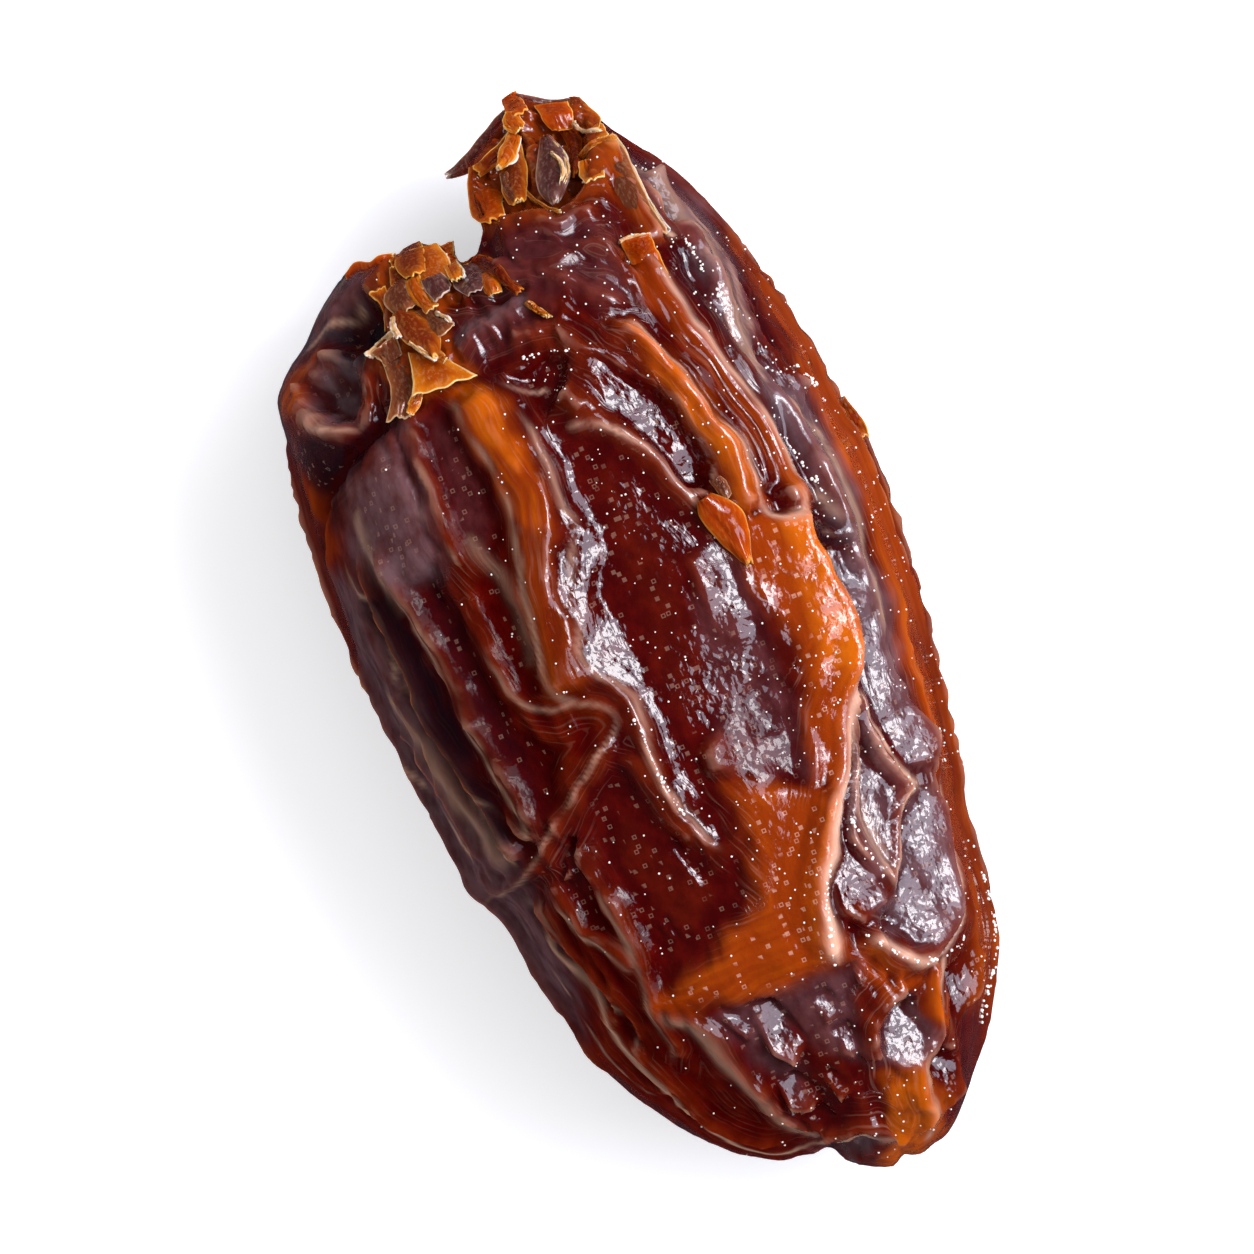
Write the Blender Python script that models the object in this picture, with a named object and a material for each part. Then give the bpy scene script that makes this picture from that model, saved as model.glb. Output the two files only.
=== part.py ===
"""A medjool date, lying on its side as it rests on a table.

The fruit grew as one piece, so it is one solid: a blunt, slightly lopsided oval, its skin
drawn into lengthwise folds as the flesh dried, and its stem end torn open. It lies along Y
with the stem end at +Y, and rests at Z = 0 on the small flat spot that its own weight
pressed into it. Folds are given in plan, as they are seen from straight above.
"""

import math
from collections import namedtuple

import bmesh
import bpy
import numpy as np
from mathutils import Matrix, Vector, noise

MM = 0.001

# Driving dimensions, in millimetres: the box that the fruit fills, and the height at which it is
# widest
LENGTH = 50.0
WIDTH = 25.0
HEIGHT = 21.5
WAIST_HEIGHT = 9.4

# How far the plain body would sink below the table, which sets the size of the flat spot, and
# the exponent of its cross-section, where 2 is an ellipse
FOOT_SINK = 0.5
ROUNDNESS = 2.35

# Mesh fineness: segments round the long axis, rings along it, and how much closer the segments
# lie on the top, where the folds are finer
SEGMENTS_ROUND = 80
RINGS_ALONG = 56
TOP_FINENESS = 0.35

# The fruit's outline from above, with the tear at the stem end left whole
OUTLINE = (
    (12.2, 3.5), (11.9, 8.5), (11.3, 12.3), (10.2, 15.8), (9.2, 18.3), (8.0, 20.5), (6.8, 22.5),
    (5.4, 24.0), (3.6, 24.9), (1.8, 24.0), (-0.3, 23.0), (-2.8, 21.8), (-5.4, 20.6), (-7.4, 19.5),
    (-9.3, 17.9), (-10.7, 16.3), (-11.5, 14.0), (-12.0, 11.0), (-12.2, 7.0), (-12.1, 3.5),
    (-11.8, 0.0), (-11.4, -4.0), (-10.9, -7.0), (-10.1, -10.3), (-9.4, -13.5), (-8.6, -16.3),
    (-7.4, -18.6), (-5.8, -20.7), (-4.0, -22.1), (-2.0, -23.1), (-0.3, -24.1), (1.6, -24.8),
    (3.2, -24.7), (4.8, -23.7), (6.3, -22.0), (7.8, -20.1), (9.0, -17.9), (9.7, -15.4),
    (10.2, -12.4), (10.6, -9.4), (11.2, -6.1), (11.8, -2.8), (12.1, 0.4),
)

# How far each stretch of the torn stem end reaches along Y, from west to east
TORN_EDGE = (
    (-6.8, 26.0), (-6.0, 20.7), (-4.6, 20.3), (-2.7, 20.2), (-1.8, 19.7), (-1.2, 18.9), (-0.4, 18.8),
    (0.0, 19.5), (0.2, 21.2), (0.7, 22.3), (1.2, 26.0),
)
TEAR_SOFTNESS = 0.3

# The share of a fold's length over which it rises from nothing at either end, and how many of its
# half-widths it is felt over
FOLD_END = 0.12
FOLD_REACH = 2.5

# A fold's half-widths are those of its two flanks. A route runs from the stem end to the blossom
# end, or from west to east, so that its first flank is the one to the east or to the stem end.
Fold = namedtuple("Fold", "name height first second route")
FOLDS = (
    Fold("inner amber rib", 1.0, 0.7, 1.3,
         ((4.4, 13.8), (5.2, 12.0), (5.8, 10.0), (6.3, 8.0), (6.6, 6.0), (6.6, 4.4))),
    Fold("channel between the ribs", -1.1, 0.6, 0.6,
         ((5.6, 16.6), (5.9, 14.5), (6.5, 12.3), (7.1, 9.8), (7.4, 7.5), (7.5, 5.2))),
    Fold("outer amber rib", 0.9, 0.8, 0.6,
         ((6.3, 16.7), (6.8, 15.0), (7.3, 13.0), (7.9, 10.6), (8.4, 8.0), (8.5, 6.0), (8.2, 4.0))),
    Fold("grey rib", 0.7, 0.7, 0.8,
         ((7.6, 20.6), (8.4, 18.4), (8.8, 16.0), (8.9, 13.4), (9.3, 10.8), (9.9, 8.2), (10.5, 5.6),
          (10.6, 2.6), (10.4, -0.2), (10.0, -3.2), (9.6, -5.2))),
    Fold("east wall of the great pane", 0.6, 0.7, 1.0,
         ((0.2, 10.3), (1.6, 10.2), (2.6, 9.3), (3.4, 8.0), (3.9, 6.6), (4.2, 5.0), (4.3, 3.8))),
    Fold("amber mass", 0.95, 1.5, 1.4,
         ((5.6, 5.2), (6.3, 3.2), (6.7, 1.0), (6.9, -1.2), (6.7, -3.2), (6.0, -5.4), (5.2, -7.0),
          (4.0, -8.8), (2.8, -10.4), (1.8, -12.2), (0.8, -13.6))),
    Fold("amber mass, west branch", 0.6, 0.9, 0.8,
         ((-5.5, -14.3), (-3.6, -14.5), (-1.6, -14.3), (0.4, -13.8), (2.0, -14.4))),
    Fold("pale crest", 0.9, 0.7, 0.8,
         ((7.8, -4.4), (6.9, -5.2), (6.3, -7.0), (5.6, -8.6), (4.5, -10.0), (3.5, -11.6),
          (2.8, -13.4), (2.4, -15.4))),
    Fold("nubbed crest", 0.8, 0.7, 0.6,
         ((7.5, -4.8), (7.8, -6.8), (8.1, -8.6), (8.4, -9.9), (7.7, -11.2), (6.8, -12.7), (6.0, -13.9))),
    Fold("rim of the grey dish", 0.7, 0.7, 0.7,
         ((3.8, -14.6), (4.6, -15.6), (5.4, -16.7), (6.6, -17.0), (7.8, -16.1), (8.7, -14.8),
          (9.1, -12.8), (9.2, -11.0))),
    Fold("west amber ridge", 1.1, 1.0, 1.0,
         ((-3.9, 13.4), (-3.0, 11.6), (-2.3, 9.6), (-2.4, 7.4), (-2.9, 5.2), (-3.3, 3.0), (-3.3, 1.2),
          (-2.9, -0.6), (-2.5, -2.2))),
    Fold("thread ridge", 0.5, 0.6, 0.6,
         ((-1.9, 0.6), (-1.3, -1.0), (-1.4, -3.0), (-1.2, -5.4), (-0.7, -7.4), (0.0, -9.0))),
    Fold("cross ridge", 0.75, 0.7, 0.7,
         ((-10.2, -6.9), (-9.0, -7.1), (-7.7, -6.6), (-6.4, -5.4), (-4.9, -4.0), (-2.8, -2.6))),
    Fold("ridge west of the round pane", 0.7, 0.6, 0.7,
         ((-7.7, -7.6), (-7.3, -9.2), (-6.6, -11.2), (-5.9, -13.0), (-5.8, -15.2), (-5.6, -17.0))),
    Fold("south-west ridge", 0.6, 0.6, 0.7,
         ((-9.2, -8.6), (-8.8, -10.4), (-8.1, -12.6), (-7.5, -14.8), (-6.7, -17.0), (-5.7, -18.8),
          (-4.6, -20.4))),
    Fold("west ridge", 0.8, 0.7, 0.7,
         ((-9.4, 9.4), (-9.3, 7.4), (-8.9, 5.4), (-8.8, 3.0), (-8.7, 0.6), (-8.4, -1.6), (-8.3, -3.4),
          (-7.9, -6.0))),
    Fold("west trough", -0.8, 0.7, 0.7,
         ((-10.2, 6.8), (-10.0, 4.8), (-10.0, 2.8), (-9.8, 0.8), (-9.3, -1.6))),
    Fold("rim of the west dish", 0.8, 0.6, 0.6,
         ((-10.0, 14.8), (-9.4, 14.1), (-8.6, 13.8), (-7.7, 14.4), (-7.1, 15.7), (-6.8, 16.8))),
    Fold("crevice under the west lobe", -1.0, 0.7, 0.7,
         ((-10.4, 11.2), (-9.8, 11.9), (-9.0, 12.4), (-7.8, 12.7), (-6.5, 12.9))),
    Fold("shallow west valley", -0.5, 0.8, 0.8,
         ((-7.0, 8.6), (-7.2, 6.2), (-7.2, 3.6), (-7.0, 1.0), (-6.6, -1.2), (-6.0, -3.0))),
    Fold("upper wave", 0.45, 0.7, 0.7,
         ((-0.8, 14.9), (0.9, 14.8), (2.3, 13.6), (3.2, 11.9), (3.9, 10.6))),
    Fold("ridge west of the end pane", 0.5, 0.6, 0.8,
         ((-5.2, -14.9), (-4.4, -16.0), (-3.8, -17.6), (-3.0, -19.4), (-2.2, -20.8), (-1.3, -21.8))),
    Fold("ridge to the blossom scar", 0.6, 0.6, 0.6,
         ((6.9, -17.3), (6.3, -18.6), (5.4, -19.9), (4.2, -20.8), (3.8, -22.2))),
)

# A hollow or swell is an oval in plan, on the upper half, turned by an angle from Y
Oval = namedtuple("Oval", "name height centre radii turn")
OVALS = (
    Oval("great pane", -0.75, (1.7, 3.0), (2.6, 6.6), -5.0),
    Oval("great pane, lower end", -0.45, (2.3, -4.2), (2.4, 3.0), 0.0),
    Oval("pane between the crests", -0.7, (6.3, -10.6), (1.1, 3.2), 25.0),
    Oval("grey dish", -0.8, (6.9, -14.2), (2.4, 2.3), 0.0),
    Oval("round pane", -0.8, (-3.4, -9.6), (2.5, 4.0), 10.0),
    Oval("end pane", -0.6, (0.1, -18.6), (2.7, 3.0), 0.0),
    Oval("small end pane", -0.6, (3.8, -19.6), (1.2, 1.7), 20.0),
    Oval("west dish", -1.1, (-8.7, 15.8), (1.4, 1.5), 0.0),
    Oval("dark hollow by the tear", -1.3, (-6.9, 17.9), (1.0, 1.4), 15.0),
    Oval("valley beside the inner rib", -0.7, (3.9, 8.8), (0.9, 3.4), -12.0),
    Oval("smooth grey swell", 0.5, (-8.1, 9.8), (1.8, 2.6), 0.0),
    Oval("violet panel", -0.4, (-4.9, 9.8), (1.0, 3.2), 0.0),
    Oval("blossom scar", -0.7, (-0.4, -23.2), (1.3, 0.7), 80.0),
)

# The hollow that the stem was pulled from, pushed in along the way it faces
HOLLOW_CENTRE = (3.3, 21.9)
HOLLOW_RADII = (2.7, 2.3)
HOLLOW_DEPTH = 2.1
HOLLOW_WAY = (0.1, -0.55, -0.83)

# Folds of the sides and the underside, which follow a rule. They wander by so many degrees round
# the long axis.
SIDE_FOLDS = 11
SIDE_FOLD_HEIGHT = 1.0
SIDE_FOLD_WIDTH = 1.1
SIDE_FOLD_WANDER = 12.0

# The folds fade out over this height above the table
FOOT_FADE = 2.5

# Passes that ease the saw-teeth where a fold crosses the mesh at a slant
SMOOTHING_PASSES = 2

# Broad unevenness of the dried flesh
LUMP_HEIGHT = 0.35
LUMP_SIZE = 5.5

SKIN_COLOUR = (0.12, 0.022, 0.008, 1.0)
SKIN_ROUGHNESS = 0.3


def smooth_curve(points, count, closed=False):
    """Points on a Catmull-Rom curve through the given ones."""
    points = np.asarray(points, float)
    if closed:
        padded = np.vstack([points[-1:], points, points[:2]])
    else:
        padded = np.vstack([2 * points[0] - points[1], points, 2 * points[-1] - points[-2]])
    spans = len(padded) - 3
    at = np.linspace(0, spans, count, endpoint=not closed)
    index = np.minimum(at.astype(int), spans - 1)
    t = (at - index)[:, None]
    a, b, c, d = (padded[index + k] for k in range(4))
    return 0.5 * (
        2 * b + (c - a) * t + (2 * a - 5 * b + 4 * c - d) * t**2 + (3 * b - a - 3 * c + d) * t**3
    )


def outline_radius(angle):
    """Distance from the middle to the outline, seen from above, in each direction."""
    edge = smooth_curve(OUTLINE, 720, closed=True)
    edge_angle = np.arctan2(edge[:, 1], edge[:, 0])
    order = np.argsort(edge_angle)
    return np.interp(
        angle, edge_angle[order], np.hypot(edge[:, 0], edge[:, 1])[order], period=2 * math.pi
    )


def skin_height(share, upper):
    """Height of the plain skin at a share of the way from the middle to the outline."""
    arch = (1 - np.minimum(share, 1.0) ** ROUNDNESS) ** (1 / ROUNDNESS)
    top = WAIST_HEIGHT + (HEIGHT - WAIST_HEIGHT) * arch
    bottom = WAIST_HEIGHT - (WAIST_HEIGHT + FOOT_SINK) * arch
    return np.where(upper, top, bottom)


def crowd_upward(directions):
    """Slides the unit sphere's points round the long axis, closer together towards the top."""
    ring = np.hypot(directions[:, 0], directions[:, 2])
    angle = np.arctan2(directions[:, 2], directions[:, 0])
    angle += TOP_FINENESS * np.cos(angle)
    return np.column_stack([ring * np.cos(angle), directions[:, 1], ring * np.sin(angle)])


def plain_body(directions):
    """The unit sphere's points moved to the plain body, before any fold."""
    stretched = directions[:, :2] * (WIDTH / 2, LENGTH / 2)
    angle = np.arctan2(stretched[:, 1], stretched[:, 0])
    share = np.hypot(directions[:, 0], directions[:, 1]).clip(0, 1) ** (2 / ROUNDNESS)
    reach = outline_radius(angle) * share
    height = skin_height(share, directions[:, 2] >= 0)
    return np.column_stack([reach * np.cos(angle), reach * np.sin(angle), height])


def onto_skin(plan):
    """Points of a plan view dropped onto the top of the plain body."""
    plan = np.asarray(plan, float)
    angle = np.arctan2(plan[:, 1], plan[:, 0])
    share = np.hypot(plan[:, 0], plan[:, 1]) / outline_radius(angle)
    return np.column_stack([plan, skin_height(share, True)])


def ease(value):
    value = np.clip(value, 0, 1)
    return value * value * (3 - 2 * value)


def along_route(points, normals, route, reach):
    """Which points a route passes near, with their distance from it, their side and how far along."""
    near = np.all((points > route.min(0) - reach) & (points < route.max(0) + reach), axis=1)
    index = np.nonzero(near)[0]
    start, step = route[:-1], np.diff(route, axis=0)
    apart = points[index, None] - start
    share = ((apart * step).sum(2) / (step * step).sum(1)).clip(0, 1)
    away = apart - share[..., None] * step
    distance = np.linalg.norm(away, axis=2)
    best = distance.argmin(1)
    rows = np.arange(len(index))
    turn = np.cross(step[best], away[rows, best])
    first = (turn * normals[index]).sum(1) > 0
    along = (best + share[rows, best]) / len(step)
    return index, distance[rows, best], first, along


def fold_relief(points, normals, folds):
    """How far each point rises with the folds. Ridges that meet don't add up."""
    rise, fall = np.zeros(len(points)), np.zeros(len(points))
    for height, first_width, second_width, route in folds:
        reach = FOLD_REACH * max(first_width, second_width)
        index, distance, first, along = along_route(points, normals, route, reach)
        width = np.where(first, first_width, second_width)
        ends = ease(along / FOLD_END) * ease((1 - along) / FOLD_END)
        amount = height * ends * np.exp(-((distance / width) ** 2))
        if height > 0:
            rise[index] = np.maximum(rise[index], amount)
        else:
            fall[index] = np.minimum(fall[index], amount)
    return rise + fall


def oval_share(points, centre, radii, turn):
    """How far each point lies from an oval's middle in plan, where 1 is its edge."""
    angle = math.radians(turn)
    x, y = points[:, 0] - centre[0], points[:, 1] - centre[1]
    across = x * math.cos(angle) + y * math.sin(angle)
    along = y * math.cos(angle) - x * math.sin(angle)
    return np.hypot(across / radii[0], along / radii[1])


def oval_relief(points):
    relief = np.zeros(len(points))
    upper = ease((points[:, 2] - WAIST_HEIGHT + 2) / 4)
    for oval in OVALS:
        share = oval_share(points, oval.centre, oval.radii, oval.turn)
        relief += oval.height * ease(1.25 - share) * upper
    return relief


def side_folds():
    """Wavy lengthwise folds spread round the sides and the underside."""
    folds = []
    for k in range(SIDE_FOLDS):
        middle = math.radians(-8 - 164 * k / (SIDE_FOLDS - 1))
        start, end = -0.86 + 0.11 * (k % 3), 0.84 - 0.13 * (k % 4)
        along = np.linspace(start, end, 26)
        wander = [SIDE_FOLD_WANDER * noise.noise(Vector((2.1 * a, 0.37 * k, 3.0))) for a in along]
        angle = middle + np.radians(wander)
        ring = np.sqrt(1 - along**2)
        directions = np.column_stack([ring * np.cos(angle), along, ring * np.sin(angle)])
        height = SIDE_FOLD_HEIGHT * (0.7 + 0.3 * math.sin(2.4 * k))
        folds.append((height, SIDE_FOLD_WIDTH, SIDE_FOLD_WIDTH, plain_body(directions)))
    return folds


def lumps(points):
    scaled = points / LUMP_SIZE
    return LUMP_HEIGHT * np.array([noise.noise(Vector(p)) for p in scaled])


def open_stem_end(points):
    """Cuts back the torn edge and pushes in the hollow that the stem came out of."""
    share = oval_share(points, HOLLOW_CENTRE, HOLLOW_RADII, 0.0)
    depth = HOLLOW_DEPTH * ease((1.15 - share) / 0.55) * ease((points[:, 2] - WAIST_HEIGHT) / 1.5)
    points = points + depth[:, None] * np.array(HOLLOW_WAY)
    edge = np.array(TORN_EDGE)
    limit = np.interp(points[:, 0], edge[:, 0], edge[:, 1])
    over = (points[:, 1] - limit) / TEAR_SOFTNESS
    points[:, 1] -= TEAR_SOFTNESS * np.logaddexp(0, over)
    return points


def press_foot(points):
    """Flattens whatever would reach below the table."""
    points[:, 2] = np.maximum(points[:, 2], 0.0)
    return points


def to_size(points):
    """The points stretched to the driving dimensions, over the origin in plan, with Z from 0."""
    low, high = points.min(0), points.max(0)
    size = np.array((WIDTH, LENGTH, HEIGHT))
    return (points - low) / (high - low) * size - size * (0.5, 0.5, 0)


def read_points(bm):
    return np.array([v.co for v in bm.verts], float)


def write_points(bm, points):
    for vertex, point in zip(bm.verts, points):
        vertex.co = point


def date_mesh():
    bm = bmesh.new()
    bmesh.ops.create_uvsphere(
        bm, u_segments=SEGMENTS_ROUND, v_segments=RINGS_ALONG, radius=1.0,
        matrix=Matrix.Rotation(math.radians(-90), 4, "X"),
    )
    plain = plain_body(crowd_upward(read_points(bm)))
    write_points(bm, plain)
    bm.normal_update()
    normals = np.array([v.normal for v in bm.verts], float)
    folds = [
        (f.height, f.first, f.second, smooth_curve(onto_skin(f.route), 6 * len(f.route)))
        for f in FOLDS
    ]
    relief = fold_relief(plain, normals, folds + side_folds()) + oval_relief(plain) + lumps(plain)
    relief *= ease((plain[:, 2] + FOOT_SINK) / FOOT_FADE)
    points = open_stem_end(plain + relief[:, None] * normals)
    write_points(bm, points)
    for _ in range(SMOOTHING_PASSES):
        bmesh.ops.smooth_vert(
            bm, verts=bm.verts, factor=0.5, use_axis_x=True, use_axis_y=True, use_axis_z=True
        )
    write_points(bm, to_size(press_foot(read_points(bm))) * MM)
    bmesh.ops.recalc_face_normals(bm, faces=bm.faces)
    mesh = bpy.data.meshes.new("medjool_date")
    bm.to_mesh(mesh)
    bm.free()
    mesh.shade_smooth()
    return mesh


def skin_material():
    material = bpy.data.materials.new("date_skin")
    material.use_nodes = True
    shader = material.node_tree.nodes["Principled BSDF"]
    shader.inputs["Base Color"].default_value = SKIN_COLOUR
    shader.inputs["Roughness"].default_value = SKIN_ROUGHNESS
    shader.inputs["Metallic"].default_value = 0.0
    return material


def main():
    for old in list(bpy.data.objects):
        bpy.data.objects.remove(old)
    date = bpy.data.objects.new("medjool_date", date_mesh())
    date.data.materials.append(skin_material())
    bpy.context.scene.collection.objects.link(date)


main()
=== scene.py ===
"""The looks of a medjool date that lies on its side, seen from straight above.

Lengths here are millimetres until a mesh is written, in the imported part's own frame: +Y runs
towards the torn stem end, +X across, +Z up from the table. Folds, stains and torn edges are given
in plan, as they are seen from above, and are dropped onto the fruit's plain body.
"""

import itertools
import math
from collections import namedtuple
from functools import partial
from types import SimpleNamespace

import bmesh
import bpy
import numpy as np
from mathutils import Matrix, Vector
from mathutils.bvhtree import BVHTree


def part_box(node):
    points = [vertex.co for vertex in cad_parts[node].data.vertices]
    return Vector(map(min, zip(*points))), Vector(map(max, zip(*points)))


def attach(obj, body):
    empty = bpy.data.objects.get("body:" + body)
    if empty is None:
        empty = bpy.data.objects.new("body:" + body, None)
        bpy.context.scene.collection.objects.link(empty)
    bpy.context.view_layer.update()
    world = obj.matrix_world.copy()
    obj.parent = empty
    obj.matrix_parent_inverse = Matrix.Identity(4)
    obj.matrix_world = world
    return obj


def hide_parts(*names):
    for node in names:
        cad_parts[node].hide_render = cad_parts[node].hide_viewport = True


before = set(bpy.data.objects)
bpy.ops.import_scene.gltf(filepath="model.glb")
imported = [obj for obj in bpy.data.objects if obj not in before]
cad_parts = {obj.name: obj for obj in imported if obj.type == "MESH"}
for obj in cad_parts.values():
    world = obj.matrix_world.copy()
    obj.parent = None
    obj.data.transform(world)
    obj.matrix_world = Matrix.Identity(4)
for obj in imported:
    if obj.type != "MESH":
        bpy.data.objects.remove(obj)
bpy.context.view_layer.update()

bl_info = {
    "name": "Medjool Date",
    "version": (1, 0, 0),
    "blender": (4, 5, 0),
    "location": "View3D > Sidebar > Date",
    "description": "Builds a wrinkled medjool date with a torn stem end",
    "category": "Add Mesh",
}

MM = 0.001
NODE = "medjool_date"

# The fruit's box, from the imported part
LOW, HIGH = (Vector(corner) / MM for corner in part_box(NODE))
WIDTH, LENGTH, HEIGHT = HIGH - LOW

# The plain body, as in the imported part, with room for the folds over its top
WAIST_HEIGHT = 9.4
CROWN_ROOM = 0.6
FOOT_SINK = 0.5
ROUNDNESS = 2.35

# The camera looks straight down, turned so that the fruit leans to the left. It sees a square of
# FIELD millimetres at the height of the waist.
FIELD = 54.96
LOOK_AT = (-0.56, 1.37)
LEAN_DEGREES = -22.0
LENS = 400.0
SENSOR = 36.0

# The outline from above, with the tear at the stem end left whole
OUTLINE = (
    (12.4, 3.2), (12.4, 4.5), (12.4, 5.6), (12.1, 6.6), (11.85, 8.0), (11.7, 10.0),
    (11.3, 12.0), (10.8, 14.0), (10.3, 16.0), (9.8, 17.3), (9.0, 19.0), (8.2, 20.3), (7.3, 21.6),
    (6.8, 22.4), (6.2, 23.7), (5.0, 24.0), (4.3, 24.5), (3.6, 24.95), (3.0, 24.6), (2.0, 24.0),
    (0.7, 23.2), (-0.6, 22.7), (-2.6, 21.9), (-4.2, 21.2), (-5.6, 20.7), (-6.9, 20.0),
    (-8.0, 19.2), (-9.0, 18.2), (-10.0, 17.5), (-11.0, 16.6), (-11.3, 15.9), (-11.6, 14.3),
    (-12.0, 12.0), (-12.3, 10.0), (-12.35, 8.0), (-12.4, 6.0), (-12.35, 4.0), (-12.2, 2.0),
    (-12.0, 0.0), (-11.8, -2.0), (-11.6, -4.0), (-11.4, -6.0), (-11.35, -7.0), (-10.8, -7.9),
    (-10.4, -9.0), (-10.2, -11.0), (-10.0, -12.2), (-9.5, -14.0), (-9.2, -15.4), (-8.9, -16.5),
    (-8.0, -18.0), (-7.0, -19.5), (-6.0, -20.8), (-5.0, -21.8), (-4.0, -22.4), (-3.0, -22.9),
    (-2.0, -23.05), (-0.9, -23.5), (0.0, -24.35), (0.8, -24.8), (1.4, -25.0), (2.0, -24.7),
    (2.7, -24.9), (3.5, -24.75), (4.2, -24.6), (5.0, -24.0), (6.0, -22.9), (7.0, -21.6),
    (8.0, -20.2), (9.0, -18.7), (9.6, -17.3), (9.95, -16.0), (10.1, -14.0), (10.35, -12.0),
    (10.7, -10.5), (11.0, -9.0), (11.3, -7.0), (11.6, -5.0), (11.9, -3.0), (12.1, -1.0),
    (12.3, 1.0), )

# How far each stretch of the torn stem end reaches along Y, from west to east
TORN_EDGE = (
    (-6.4, 26.0), (-5.6, 20.7), (-5.3, 20.2), (-4.7, 20.5), (-4.0, 20.3), (-3.4, 20.1),
    (-2.8, 20.35), (-2.0, 20.0), (-1.7, 19.5), (-1.5, 19.2), (-1.3, 18.8), (-1.0, 18.7),
    (-0.5, 18.9), (-0.2, 19.3), (0.1, 19.7), (0.4, 19.9), (0.15, 20.3), (0.2, 21.0),
    (0.45, 21.9), (0.6, 22.4), (0.9, 26.0), )
TEAR_SOFTNESS = 0.10

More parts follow.
